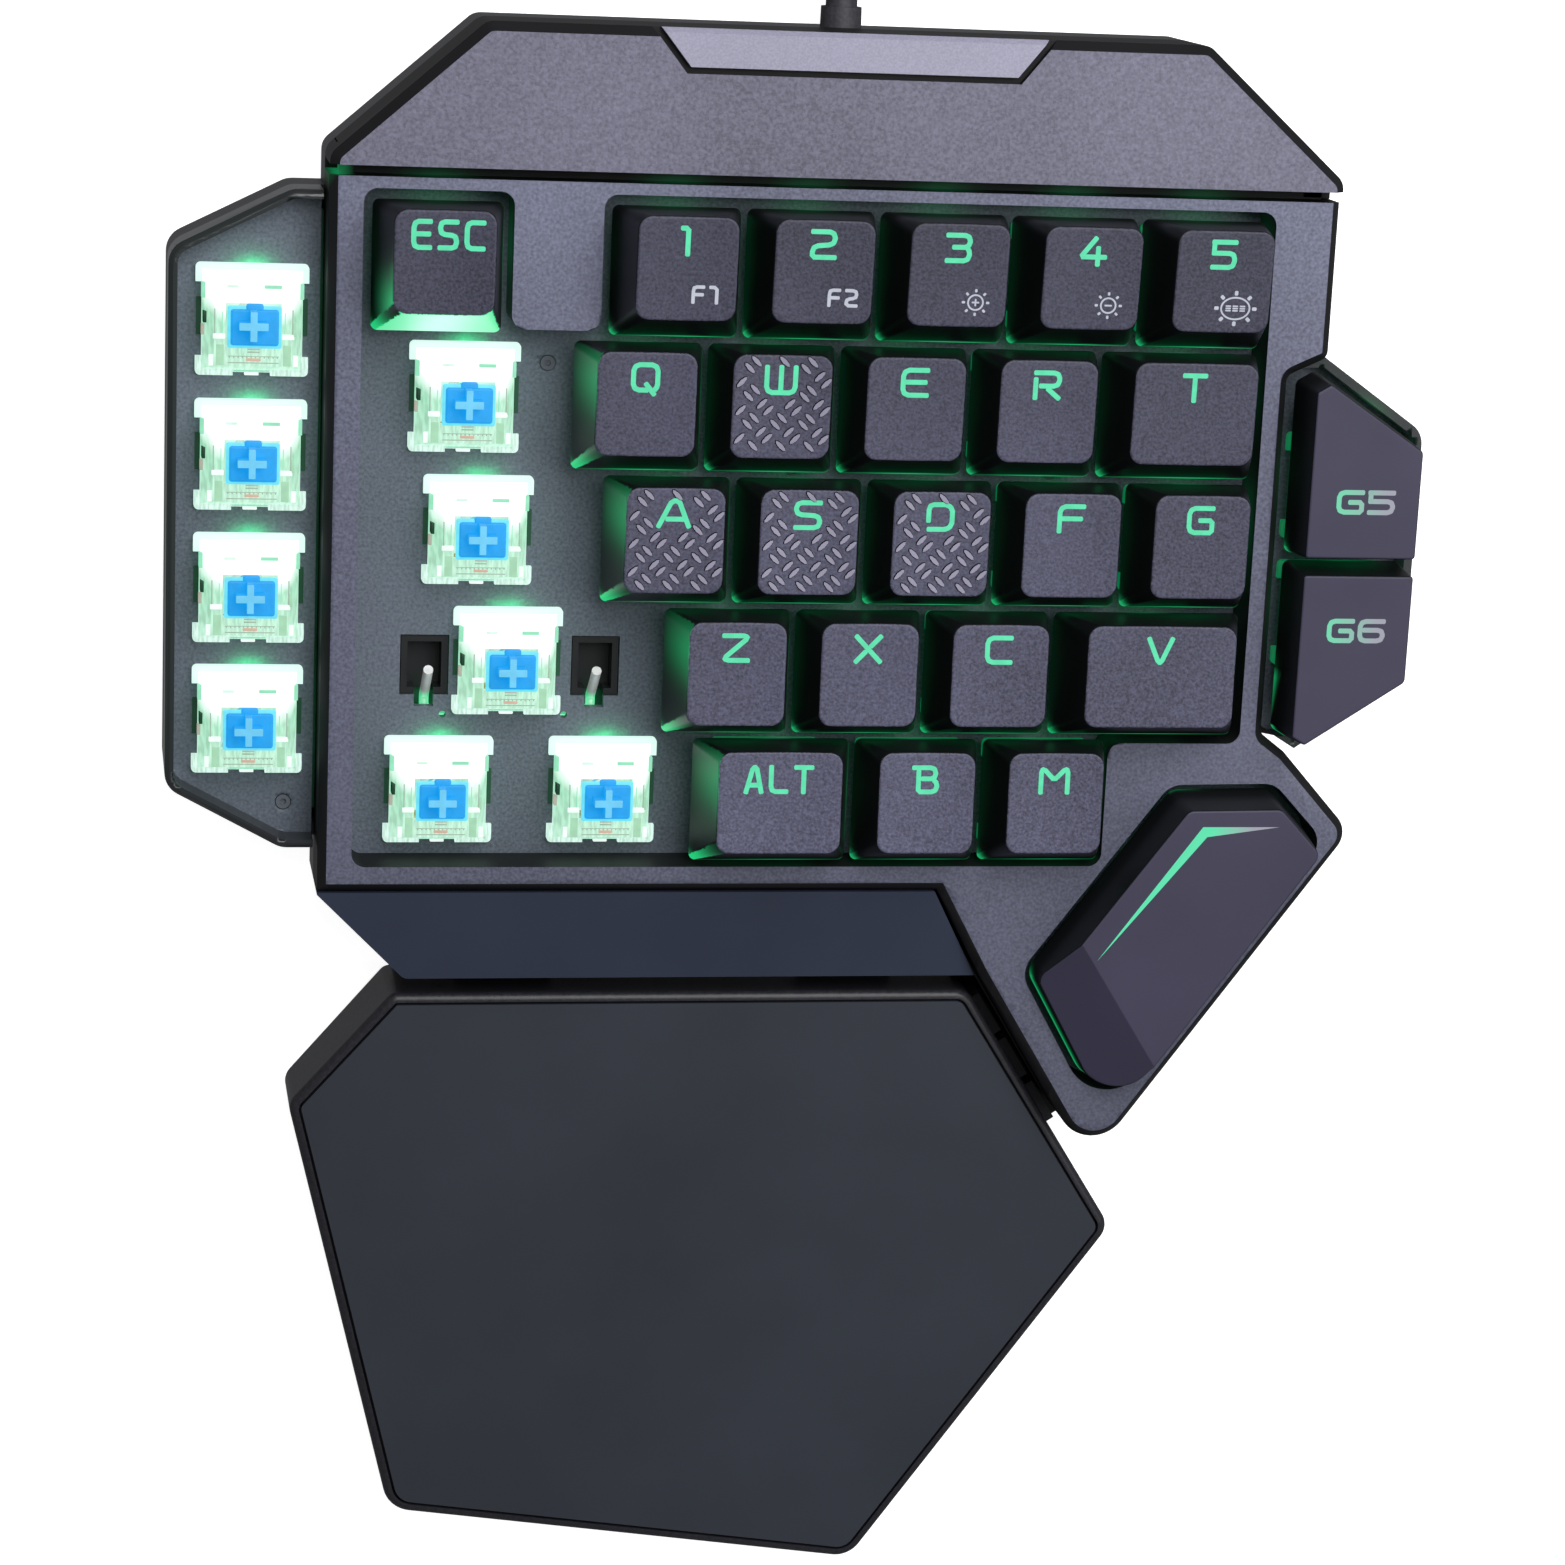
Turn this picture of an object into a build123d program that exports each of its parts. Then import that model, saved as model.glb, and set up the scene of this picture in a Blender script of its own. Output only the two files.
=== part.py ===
from build123d import *
import math
import os

# One-handed mechanical keyboard with a detachable palm rest and a USB cord.
# While the pieces are made, x runs to the right from the left edge of the key field, y runs to
# the back from its front edge, and z is up from the top of the switch deck. At the end everything
# moves so that the origin lies on the desk, under the middle of the keyboard and its palm rest.

# Key field
key_pitch = 19.05
row_count = 5
field_width_share = 6.75
front_row_width_share = 5.75
escape_width_share = 1.0
island_right_share = 1.75
left_pod_column_share = -0.82
macro_column = 143.2

# Name, row from the back, centre and width in key pitches
capped_key_shares = (
    ("key_escape", 1, 0.5, 1.0),
    ("key_1", 1, 2.25, 1.0),
    ("key_2", 1, 3.25, 1.0),
    ("key_3", 1, 4.25, 1.0),
    ("key_4", 1, 5.25, 1.0),
    ("key_5", 1, 6.25, 1.0),
    ("key_q", 2, 2.0, 1.0),
    ("key_w", 2, 3.0, 1.0),
    ("key_e", 2, 4.0, 1.0),
    ("key_r", 2, 5.0, 1.0),
    ("key_t", 2, 6.125, 1.25),
    ("key_a", 3, 2.25, 1.0),
    ("key_s", 3, 3.25, 1.0),
    ("key_d", 3, 4.25, 1.0),
    ("key_f", 3, 5.25, 1.0),
    ("key_g", 3, 6.25, 1.0),
    ("key_z", 4, 2.75, 1.0),
    ("key_x", 4, 3.75, 1.0),
    ("key_c", 4, 4.75, 1.0),
    ("key_v", 4, 6.0, 1.5),
    ("key_alt", 5, 3.125, 1.25),
    ("key_b", 5, 4.25, 1.0),
    ("key_m", 5, 5.25, 1.0),
)
bare_switch_shares = (
    ("stem_tab", 2, 0.75),
    ("stem_caps", 3, 0.875),
    ("stem_shift", 4, 1.125),
    ("stem_control", 5, 0.625),
    ("stem_start", 5, 1.875),
)

# Keycaps: heights are above the deck, depths are of the top face, and the rise is how much
# higher the back edge of the top face is than its front edge
cap_gap = 0.85
cap_skirt_height = 6.2
cap_height_row_1 = 18.2
cap_height_row_2 = 16.2
cap_height_row_3 = 15.8
cap_height_row_4 = 16.3
cap_height_row_5 = 15.4
cap_depth_row_1 = 14.4
cap_depth_row_2 = 14.6
cap_depth_row_3 = 15.0
cap_depth_row_4 = 14.85
cap_depth_row_5 = 14.75
cap_rise_row_1 = 1.2
cap_rise_row_2 = 0.7
cap_rise_row_3 = 0.3
cap_rise_row_4 = -0.2
cap_rise_row_5 = -0.5
cap_back_inset = 0.06
cap_side_taper = 4.2
cap_extra_taper_share = 0.168
cap_top_corner = 2.0
cap_base_corner = 1.0
cap_wall = 1.3
cap_roof = 1.6
cap_dish = 0.5
cap_edge_round = 0.4
cap_boss_radius = 2.75
macro_cap_height = 15.0
macro_cap_skirt = 6.2
macro_cap_draft = 0.7
macro_cap_corner = 1.0
thumb_cap_height = 15.5
thumb_cap_draft = 1.0
thumb_facet_drop = 4.0

# Switches
switch_body = 13.9
switch_hole = 14.0
switch_flange = 15.7
switch_flange_height = 1.0
switch_flange_corner = 0.7
switch_depth = 5.0
switch_wall = 0.8
switch_top_height = 6.6
switch_top_width = 10.8
switch_top_depth = 11.4
switch_notch_length = 10.4
switch_notch_depth = 0.85
switch_front_notch_length = 5.2
switch_front_notch_depth = 0.5
stem_length = 7.2
stem_width = 5.5
stem_opening_clearance = 0.25
stem_shoulder_height = 7.0
stem_top_height = 10.2
cross_length = 4.0
cross_thickness = 1.2
cross_clearance = 0.04
key_travel = 4.0
travel_clearance = 0.4
spring_radius = 2.2
spring_wire = 0.35
spring_clearance = 0.25
peg_radius = 2.0
peg_length = 2.8
pin_radius = 0.7
pin_length = 3.3
pin_clearance = 0.08
leaf_thickness = 0.4
leaf_width = 1.6
leaf_height = 4.2
pin_grid = 1.27
light_width = 3.2
light_depth = 2.4
light_height = 1.4
light_slot_clearance = 0.5
light_offset = 5.0

# Case
deck_thickness = 1.5
bezel_height = 8.0
cover_height = 9.7
pod_rim_height = 4.8
case_depth = 12.0
parting_depth = 3.0
case_wall = 2.0
bezel_wall = 1.5
case_floor = 2.0
border_left = 5.65
border_right = 10.0
well_gap_left = 0.9
well_gap_right = 0.6
well_gap_back = 1.15
well_gap_front = 0.2
well_corner = 2.0
bezel_edge = 1.2
bezel_corner = 1.5
bezel_front_border = 3.7
bezel_back_border = 2.75
groove_width = 1.6
groove_depth = 5.0
groove_lip = 2.6
cover_depth = 20.0
cover_corner_run = 21.1
cover_corner_rise = 18.6
cover_edge = 1.3
cover_corner = 2.6
body_seam = 0.3
step_clearance = 0.3

# Accent plate in the back edge of the rear cover
accent_middle = 66.7
accent_front_width = 46.2
accent_back_width = 54.2
accent_depth = 5.0
accent_gap = 0.9
accent_thickness = 1.3

# Front panel
panel_depth = 13.6
panel_corner_run = 12.85
panel_right_top = 85.0
panel_right_bottom = 92.2
panel_back_height = 7.3
panel_front_height = 4.8
panel_wall = 1.8

# Left pod, with four switches
left_pod_width = 21.1
left_pod_length = 93.85
left_pod_front = 1.75
left_pod_front_rise = 8.85
left_pod_front_run = 16.5
left_pod_back_fall = 8.5
left_pod_back_run = 16.8
left_pod_end_room = 16.0
left_pod_switch_shift = 0.275
pod_rim = 1.25
pod_gap = 0.55
pod_corner = 3.5

# Right pod, with two macro keys
right_pod_middle = 46.35
right_pod_reach = 16.0
right_pod_half_length = 29.3
right_pod_outer_half_length = 18.3
right_pod_notch = 5.9
right_pod_notch_half_length = 26.6
macro_cap_gap = 2.5
macro_cap_left_gap = 2.3
macro_cap_width = 16.5
macro_cap_inner_half_length = 26.5
macro_cap_outer_half_length = 17.0
macro_cap_corner_cut = 2.0
macro_cap_corner_fall = 1.2

# Thumb wing at the front right. Its corners are shares of its length, measured from its inner
# front corner, but the back one lies at the front of the right pod. The thumb cap's corners are
# shares of that length too, each measured from the wing corner with the given number.
wing_length = 55.0
wing_corner_x = 92.3
wing_corner_y = -17.2
wing_shoulder = 2.2
wing_front_shares = (0.3327, -0.54, 0.1)
wing_outer_shares = (1.0036, 0.4, 0.064)
wing_back_corner_share = 0.036
thumb_cap_shares = (
    (3, -0.2945, -0.1264, 0.03),
    (3, -0.0400, -0.1227, 0.03),
    (2, -0.1236, -0.0255, 0.03),
    (1, 0.0273, 0.1855, 0.085),
    (0, 0.1509, 0.0127, 0.035),
)
thumb_well_gap = 1.1
thumb_switch_shares = (0.515, 0.155)
thumb_turn_degrees = -35.5
thumb_facet_shares = (0.2382, 0.1291, 0.4582, -0.2127)
thumb_facet_run_share = 0.125
thumb_round_reach_share = 1.3

# Circuit board
board_thickness = 1.6
board_edge_gap = 1.6
board_post_radius = 2.3
chip_width = 9.0
chip_height = 1.2

# Stabiliser under the long key left of the letters
stabiliser_spread = 12.35
stabiliser_shift = 0.5
stabiliser_width = 7.0
stabiliser_length = 8.8
stabiliser_drop = 0.8
stabiliser_notch = 1.7
stabiliser_arm_spread = 12.1
stabiliser_wall = 0.9
stabiliser_sink = 0.3
stabiliser_wire_radius = 0.7
stabiliser_bar_gap = 0.35
stabiliser_arm_rise = 6.4
stabiliser_arm_run = 5.0
stabiliser_slot = 2.8
stabiliser_bend = 1.2
stabiliser_pin_radius = 0.5
stabiliser_pin_spread = 8.8
stabiliser_pin_shift = -0.3
stabiliser_pin_drop = 8.1

# Screws
screw_radius = 0.7
screw_head_radius = 1.05
screw_head_height = 0.7
screw_clearance = 0.12
screw_drive_radius = 0.45
screw_drive_depth = 0.4
boss_radius = 3.0
screw_bite = 5.0

# Places of the screws, board rests and feet. In the key field they are a column in key pitches, a
# row, and how far behind that row in key pitches; elsewhere they are shares of the piece's size.
deck_screw_shares = (
    (1.37, 2, 0.26),
    (3.25, 3, 0.5),
    (5.25, 3, 0.5),
    (3.5, 4, -0.5),
)
left_pod_screw_side_share = 0.215
left_pod_screw_end_share = 0.3
right_pod_screw_share = 1.08
cover_screw_shares = (0.5, 0.3333)
panel_screw_columns_share = 2.55
wing_screw_shares = (0.34, -0.405)
board_rest_shares = (
    (1.05, 1, 0.0),
    (5.75, 1, 0.0),
    (1.25, 5, 0.0),
    (4.75, 5, 0.0),
)
chip_shares = (2.75, 1, 0.3333)
cover_foot_column_shares = (0.95, 5.9)
cover_foot_depth_share = 0.5
panel_foot_column_share = 0.75
wing_foot_shares = (0.3, -0.13)

# Feet
foot_radius = 5.0
foot_height = 1.5

# Palm rest
palm_width = 125.6
palm_length = 94.5
palm_gap = 2.8
palm_left_overhang = 9.0
palm_wing_inset = 0.8
palm_edge_slope_share = 0.9545
palm_right_corner_share = 0.035
palm_outline_shares = (
    (0.7040, -1.0, 0.045),
    (0.1306, -0.8868, 0.05),
    (0.0, -0.1810, 0.03),
    (0.1170, 0.0, 0.02),
)
palm_foot_shares = (
    (0.17, -0.14),
    (0.74, -0.14),
    (0.24, -0.80),
    (0.68, -0.85),
)
palm_back_height = 3.5
palm_front_height = -4.2
palm_rim = 1.3
palm_pad_gap = 0.4
palm_pad_thickness = 2.2
palm_edge_round = 1.1
palm_wall = 2.2
tongue_width = 14.0
tongue_thickness = 2.4
tongue_length = 10.8
tongue_clearance = 0.3
tongue_places_share = 0.3
tongue_lift = 1.2
ledge_width = 1.4
ledge_height = 6.0
ledge_tooth = 7.0
ledge_tooth_shares = (0.16, 0.34, 0.52)

# USB cord, with its gland, coil and plug
cord_diameter = 4.5
cord_length = 1600.0
cord_lift = 0.1
gland_middle = 67.2
gland_drop = 6.4
gland_radius = 2.95
gland_tip_radius = 2.6
gland_length = 22.0
gland_flange = 0.35
gland_flange_thickness = 1.2
gland_ring_count = 5
gland_ring_width = 1.6
gland_ring_depth = 0.35
coil_turns = 9.25
coil_layers = 4
coil_climb_turns = 0.5
coil_spacing = 5.1
coil_piece_turns = 0.25
coil_heading_share = 0.001
coil_sample_count = 900
cord_bend_share = 0.45
plug_width = 15.6
plug_height = 8.0
plug_length = 24.0
plug_corner = 1.6
plug_relief_length = 10.0
plug_relief_radius = 3.2
plug_shell_width = 12.0
plug_shell_height = 4.5
plug_shell_length = 12.0
plug_shell_wall = 0.4
plug_shell_seat = 3.0
plug_tongue_height = 1.8

# Route of the cord: along, to the side, and as a share of the whole drop, from the gland tip to
# the coil and from the coil's end to the plug
lead_route = (
    (0.0, 0.0, 0.0),
    (9.0, 0.0, 0.0),
    (19.5, 0.6, 0.66),
    (30.0, 0.0, 1.0),
    (39.4, 0.0, 1.0),
)
tail_route = (
    (0.0, 0.0, 0.0),
    (10.0, 0.0, 0.0),
    (22.0, 0.6, 0.36),
    (35.0, -0.4, 0.88),
    (46.0, 0.0, 1.0),
    (54.0, 0.0, 1.0),
)

overrun = 1.0


def field_x(share):
    return share * key_pitch


def row_y(row):
    return (row_count - row + 0.5) * key_pitch


field_width = field_x(field_width_share)
field_depth = row_count * key_pitch
body_right = field_width + border_right
bezel_front = -well_gap_front - bezel_front_border
bezel_back = field_depth + bezel_back_border
cover_front = bezel_back + groove_width
lip_width = body_right + border_left - 2 * (bezel_edge + body_seam)
cover_back = cover_front + cover_depth
panel_back = bezel_front - body_seam
panel_front = panel_back - panel_depth
case_bottom = -case_depth
floor_top = case_bottom + case_floor
parting = -parting_depth
board_top = -switch_depth
board_bottom = board_top - board_thickness
desk = case_bottom - foot_height


def outline(corners):
    """Face inside straight edges and rounded corners, each corner given as x, y and radius."""
    arcs = []
    count = len(corners)
    for index in range(count):
        x, y, radius = corners[index]
        corner = Vector(x, y)
        before = Vector(*corners[index - 1][:2])
        after = Vector(*corners[(index + 1) % count][:2])
        to_before = (before - corner).normalized()
        to_after = (after - corner).normalized()
        half_angle = math.radians(to_before.get_angle(to_after) / 2)
        reach = radius / math.tan(half_angle)
        middle_way = (to_before + to_after).normalized()
        middle = corner + middle_way * (radius / math.sin(half_angle) - radius)
        arcs.append((corner + to_before * reach, middle, corner + to_after * reach, radius))
    edges = []
    for index in range(count):
        start, middle, end, radius = arcs[index]
        following = arcs[(index + 1) % count][0]
        if radius > 0:
            edges.append(ThreePointArc(start, middle, end).edge())
        edges.append(Edge.make_line(end, following))
    return Sketch() + make_face(Wire(edges))


def wing_point(x, y, radius=0.0, start=(wing_corner_x, wing_corner_y)):
    """Corner from shares of the wing's length, measured from another corner."""
    return (start[0] + x * wing_length, start[1] + y * wing_length, radius * wing_length)


def prism(face, low, high):
    return extrude(Pos(0, 0, low) * face, high - low)


def grown(face, amount):
    return offset(face, amount, kind=Kind.INTERSECTION)


def shrunk(face, amount):
    return offset(face, -amount, kind=Kind.INTERSECTION)


def block(width, depth, low, high, x=0.0, y=0.0):
    return Pos(x, y, (low + high) / 2) * Box(width, depth, high - low)


def rod(radius, low, high, x=0.0, y=0.0):
    return Pos(x, y, (low + high) / 2) * Cylinder(radius, high - low)


def below_slope(y_back, z_back, y_front, z_front, drop=0.0):
    """Large solid under a plane that runs down from the back to the front."""
    reach = field_width + palm_width
    run = y_back - y_front
    fall = (z_back - z_front) / run
    depth = palm_length + cover_back
    profile = Polyline(
        (y_back + depth, z_back + fall * depth - drop),
        (y_front - depth, z_front - fall * depth - drop),
        (y_front - depth, z_front - fall * depth - depth),
        (y_back + depth, z_front - fall * depth - depth),
        close=True,
    )
    side = Plane(origin=(-reach, 0, 0), x_dir=(0, 1, 0), z_dir=(1, 0, 0))
    return extrude(side * make_face(profile), 2 * reach + field_width)


# Outlines of the case
wing_corners = [
    wing_point(0.0, 0.0, 0.0),
    wing_point(*wing_front_shares),
    wing_point(*wing_outer_shares),
    (
        body_right - wing_shoulder,
        right_pod_middle - right_pod_half_length,
        wing_back_corner_share * wing_length,
    ),
]
thumb_cap_corners = [
    wing_point(x, y, radius, wing_corners[corner]) for corner, x, y, radius in thumb_cap_shares
]
thumb_cap_face = outline(thumb_cap_corners)
thumb_well_face = grown(thumb_cap_face, thumb_cap_draft + thumb_well_gap)
notch_x = body_right - right_pod_notch
right_side_corners = [
    (body_right, right_pod_middle + right_pod_half_length, bezel_corner),
    (notch_x, right_pod_middle + right_pod_notch_half_length, bezel_corner),
    (notch_x, right_pod_middle - right_pod_notch_half_length, bezel_corner),
] + wing_corners[:0:-1]
bezel_face = outline(
    [
        (-border_left, bezel_back, 0.0),
        (body_right, bezel_back, 0.0),
    ]
    + right_side_corners
    + [
        (wing_corner_x, wing_corner_y, 0.0),
        (panel_right_top, bezel_front, 0.0),
        (-border_left, bezel_front, 0.0),
    ]
)
well_left = -well_gap_left
well_right = field_width + well_gap_right
well_back = field_depth + well_gap_back
island_front = row_y(2) + key_pitch / 2 + well_gap_back
step_y = row_y(4) - key_pitch / 2 - well_gap_right
escape_right = field_x(escape_width_share) + well_gap_left
island_right = field_x(island_right_share) - well_gap_left
front_row_right = field_x(front_row_width_share) - well_gap_front
well_face = outline(
    [
        (well_left, -well_gap_front, well_corner),
        (front_row_right, -well_gap_front, well_corner),
        (front_row_right, step_y, well_corner),
        (well_right, step_y, well_corner),
        (well_right, well_back, well_corner),
        (island_right, well_back, well_corner),
        (island_right, island_front, well_corner),
        (escape_right, island_front, well_corner),
        (escape_right, well_back, well_corner),
        (well_left, well_back, well_corner),
    ]
)
cover_face = outline(
    [
        (-border_left, cover_front, 0.0),
        (body_right, cover_front, 0.0),
        (body_right, cover_back - cover_corner_rise, cover_corner),
        (body_right - cover_corner_run, cover_back, cover_corner),
        (-border_left + cover_corner_run, cover_back, cover_corner),
        (-border_left, cover_back - cover_corner_rise, cover_corner),
    ]
)
panel_face = outline(
    [
        (-border_left, panel_back, 0.0),
        (panel_right_top - body_seam, panel_back, 0.0),
        (panel_right_bottom - body_seam, panel_front, 0.0),
        (-border_left + panel_corner_run, panel_front, bezel_corner),
        (-border_left, panel_back - body_seam, 0.0),
    ]
)
pod_right = -border_left - pod_gap
pod_left = pod_right - left_pod_width
pod_back = left_pod_front + left_pod_length
pod_switch_count = int((left_pod_length - 2 * left_pod_end_room) / key_pitch) + 1
pod_stem_names = tuple(f"stem_macro_{index + 1}" for index in range(pod_switch_count))


def pod_row_y(row):
    """Place of a row of the left pod, counted from its back, as the key field's rows are."""
    middle = (left_pod_front + pod_back) / 2 - left_pod_switch_shift
    return middle + ((pod_switch_count + 1) / 2 - row) * key_pitch


def left_pod_outline(right):
    return outline(
        [
            (right, left_pod_front, 0.0),
            (pod_left + left_pod_front_run, left_pod_front, pod_corner),
            (pod_left, left_pod_front + left_pod_front_rise, pod_corner),
            (pod_left, pod_back - left_pod_back_fall, pod_corner),
            (pod_left + left_pod_back_run, pod_back, pod_corner),
            (right, pod_back, 0.0),
        ]
    )


right_pod_right = body_right + right_pod_reach


def right_pod_outline(left, half_length):
    return outline(
        [
            (left, right_pod_middle - half_length, 0.0),
            (body_right, right_pod_middle - right_pod_half_length, 0.0),
            (right_pod_right, right_pod_middle - right_pod_outer_half_length, pod_corner),
            (right_pod_right, right_pod_middle + right_pod_outer_half_length, pod_corner),
            (body_right, right_pod_middle + right_pod_half_length, 0.0),
            (left, right_pod_middle + half_length, 0.0),
        ]
    )


left_pod_face = left_pod_outline(pod_right)
right_pod_face = right_pod_outline(notch_x + pod_gap, right_pod_notch_half_length - pod_gap)
main_face = outline(
    [
        (-border_left, cover_back - cover_corner_rise, cover_corner),
        (-border_left + cover_corner_run, cover_back, cover_corner),
        (body_right - cover_corner_run, cover_back, cover_corner),
        (body_right, cover_back - cover_corner_rise, cover_corner),
    ]
    + right_side_corners
    + [
        (wing_corner_x, panel_front, 0.0),
        (-border_left + panel_corner_run, panel_front, bezel_corner),
        (-border_left, panel_back - body_seam, 0.0),
    ]
)
case_faces = (
    main_face,
    left_pod_outline(-border_left + 4 * case_wall),
    right_pod_outline(notch_x - 4 * case_wall, right_pod_notch_half_length),
)


def case_inside(inset):
    """Face inside the walls of the tray, at a distance from their outer faces."""
    inside = Sketch()
    for face in case_faces:
        inside += shrunk(face, inset)
    return inside


# Places of the switches
switch_places = {}
for name, row, centre_share, width_share in capped_key_shares:
    switch_places[name] = (field_x(centre_share), row_y(row), 0.0)
for name, row, centre_share in bare_switch_shares:
    switch_places[name] = (field_x(centre_share), row_y(row), 0.0)
left_pod_x = field_x(left_pod_column_share)
for index, name in enumerate(pod_stem_names):
    switch_places[name] = (left_pod_x, pod_row_y(index + 1), 0.0)
switch_places["macro_key_upper"] = (macro_column, right_pod_middle + key_pitch / 2, 0.0)
switch_places["macro_key_lower"] = (macro_column, right_pod_middle - key_pitch / 2, 0.0)
switch_places["thumb_key"] = (*wing_point(*thumb_switch_shares)[:2], thumb_turn_degrees)
right_pod_names = ("macro_key_upper", "macro_key_lower")
pod_switch_names = pod_stem_names + right_pod_names


def at_switch(name, piece):
    x, y, turn = switch_places[name]
    return Pos(x, y, 0) * Rot(0, 0, turn) * piece


def switch_holes(names):
    cuts = [at_switch(name, Rectangle(switch_hole, switch_hole)) for name in names]
    return Sketch() + cuts


# Places of the screws: those in the decks and pods are driven from above, the others from below
def field_place(column_share, row, behind_share):
    """Place in the key field from a column, a row and a way behind it, in key pitches."""
    return (field_x(column_share), row_y(row) + behind_share * key_pitch)


deck_screw_places = [field_place(*shares) for shares in deck_screw_shares]
left_pod_screw_x = pod_right - key_pitch * left_pod_screw_side_share
left_pod_screw_end = key_pitch * left_pod_screw_end_share
left_pod_screw_places = [(left_pod_screw_x, left_pod_front + left_pod_screw_end)]
right_pod_screw_places = [
    (macro_column, right_pod_middle + side * key_pitch * right_pod_screw_share) for side in (-1, 1)
]
top_screw_places = deck_screw_places + left_pod_screw_places + right_pod_screw_places
cover_screw_run = cover_corner_run * cover_screw_shares[0]
cover_screw_y = cover_front + cover_depth * cover_screw_shares[1]
panel_middle = panel_back - panel_depth / 2
bottom_screw_places = (
    (-border_left + cover_screw_run, cover_screw_y),
    (body_right - cover_screw_run, cover_screw_y),
    (-border_left + panel_corner_run, panel_middle),
    (field_x(panel_screw_columns_share), panel_middle),
    wing_point(*wing_screw_shares)[:2],
)
stabiliser_middle = switch_places["stem_shift"]
stabiliser_y = stabiliser_middle[1] - stabiliser_drop
stabiliser_x = stabiliser_middle[0] + stabiliser_shift
stabiliser_places = [(stabiliser_x + side * stabiliser_spread, stabiliser_y) for side in (-1, 1)]
stabiliser_front = stabiliser_y - stabiliser_length / 2
stabiliser_pin_x = stabiliser_middle[0] + stabiliser_pin_shift
stabiliser_pin_places = [
    (stabiliser_pin_x + side * stabiliser_pin_spread, stabiliser_middle[1] - stabiliser_pin_drop)
    for side in (-1, 1)
]


def top_screw_holes(piece, places):
    """Cut the shank holes and head recesses of screws driven from above into a deck."""
    recess = screw_head_height + screw_clearance
    cuts = []
    for x, y in places:
        cuts.append(rod(screw_radius + screw_clearance, -case_depth, overrun, x, y))
        cuts.append(rod(screw_head_radius + screw_clearance, -recess, overrun, x, y))
    return piece - cuts


def make_top_case():
    """Bezel round the key field and the thumb wing, hollow from below."""
    skin = bezel_height - bezel_wall
    wells = well_face + thumb_well_face
    shell = prism(bezel_face, parting, bezel_height)
    rim = shell.faces().sort_by(Axis.Z)[-1].outer_wire().edges()
    rim = rim.filter_by(lambda edge: edge.center().Y < bezel_back - body_seam)
    shell = chamfer(rim, bezel_edge)
    shell -= prism(wells, parting - overrun, bezel_height + overrun)
    hollow = prism(shrunk(bezel_face, bezel_wall), parting - overrun, skin)
    hollow -= prism(grown(wells, bezel_wall), 0.0, bezel_height)
    shell -= hollow
    lip_front = bezel_back - case_wall
    lip = block(
        lip_width,
        groove_lip + groove_width + case_wall,
        bezel_height - groove_depth - case_wall,
        bezel_height - groove_depth,
        (body_right - border_left) / 2,
        lip_front + (groove_lip + groove_width + case_wall) / 2,
    )
    shell += lip
    wing_x, wing_y = bottom_screw_places[-1]
    shell += rod(boss_radius, parting, skin, wing_x, wing_y)
    shell -= rod(screw_radius, parting - overrun, parting + screw_bite, wing_x, wing_y)
    return shell


def make_switch_deck():
    """Plate that the main and thumb switches clip into."""
    plate_face = shrunk(bezel_face, bezel_wall + body_seam)
    names = [name for name in switch_places if name not in pod_switch_names]
    plate_face -= switch_holes(names)
    for x, y in stabiliser_places:
        plate_face -= Pos(x, y) * Rectangle(stabiliser_width, stabiliser_length)
        plate_face -= Pos(x, stabiliser_front) * Rectangle(stabiliser_slot, 2 * stabiliser_notch)
    for x, y in stabiliser_pin_places:
        plate_face -= Pos(x, y) * Circle(stabiliser_pin_radius)
    deck = prism(plate_face, -deck_thickness, 0.0)
    wing_x, wing_y = bottom_screw_places[-1]
    deck -= rod(boss_radius + step_clearance, -case_depth, overrun, wing_x, wing_y)
    return top_screw_holes(deck, deck_screw_places)


def make_rear_cover():
    """Raised cover over the cord entry, with a notch for the accent plate."""
    cover = prism(cover_face, parting, cover_height)
    rim = cover.faces().sort_by(Axis.Z)[-1].outer_wire().edges()
    rim = rim.filter_by(lambda edge: edge.center().Y > cover_front + body_seam)
    cover = chamfer(rim, cover_edge)
    inside = prism(shrunk(cover_face, case_wall), parting - overrun, cover_height - case_wall)
    cover -= inside
    lip_top = bezel_height - groove_depth + step_clearance
    cover -= block(
        lip_width + 2 * step_clearance,
        groove_lip * 2,
        parting - overrun,
        lip_top,
        (body_right - border_left) / 2,
        cover_front,
    )
    notch = accent_outline(accent_gap)
    cover -= prism(notch, cover_height - accent_thickness, cover_height + overrun)
    for x, y in bottom_screw_places[:2]:
        cover += rod(boss_radius, parting, cover_height - case_wall, x, y)
        cover -= rod(screw_radius, parting - overrun, parting + screw_bite, x, y)
    return cover


def accent_outline(gap):
    front = cover_back - accent_depth - body_seam - gap
    slope = (accent_back_width - accent_front_width) / 2 / accent_depth
    back = cover_back + gap
    half_front = accent_front_width / 2 + gap - slope * gap / 2
    half_back = half_front + slope * (back - front)
    return outline(
        [
            (accent_middle - half_front, front, 0.0),
            (accent_middle + half_front, front, 0.0),
            (accent_middle + half_back, back, 0.0),
            (accent_middle - half_back, back, 0.0),
        ]
    )


def make_accent_plate():
    """Light plate let into the back edge of the cover."""
    plate = prism(accent_outline(0.0), cover_height - accent_thickness, cover_height)
    back_edges = plate.faces().sort_by(Axis.Y)[-1].edges().sort_by(Axis.Z)[-1]
    return chamfer(back_edges, accent_thickness / 2)


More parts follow.
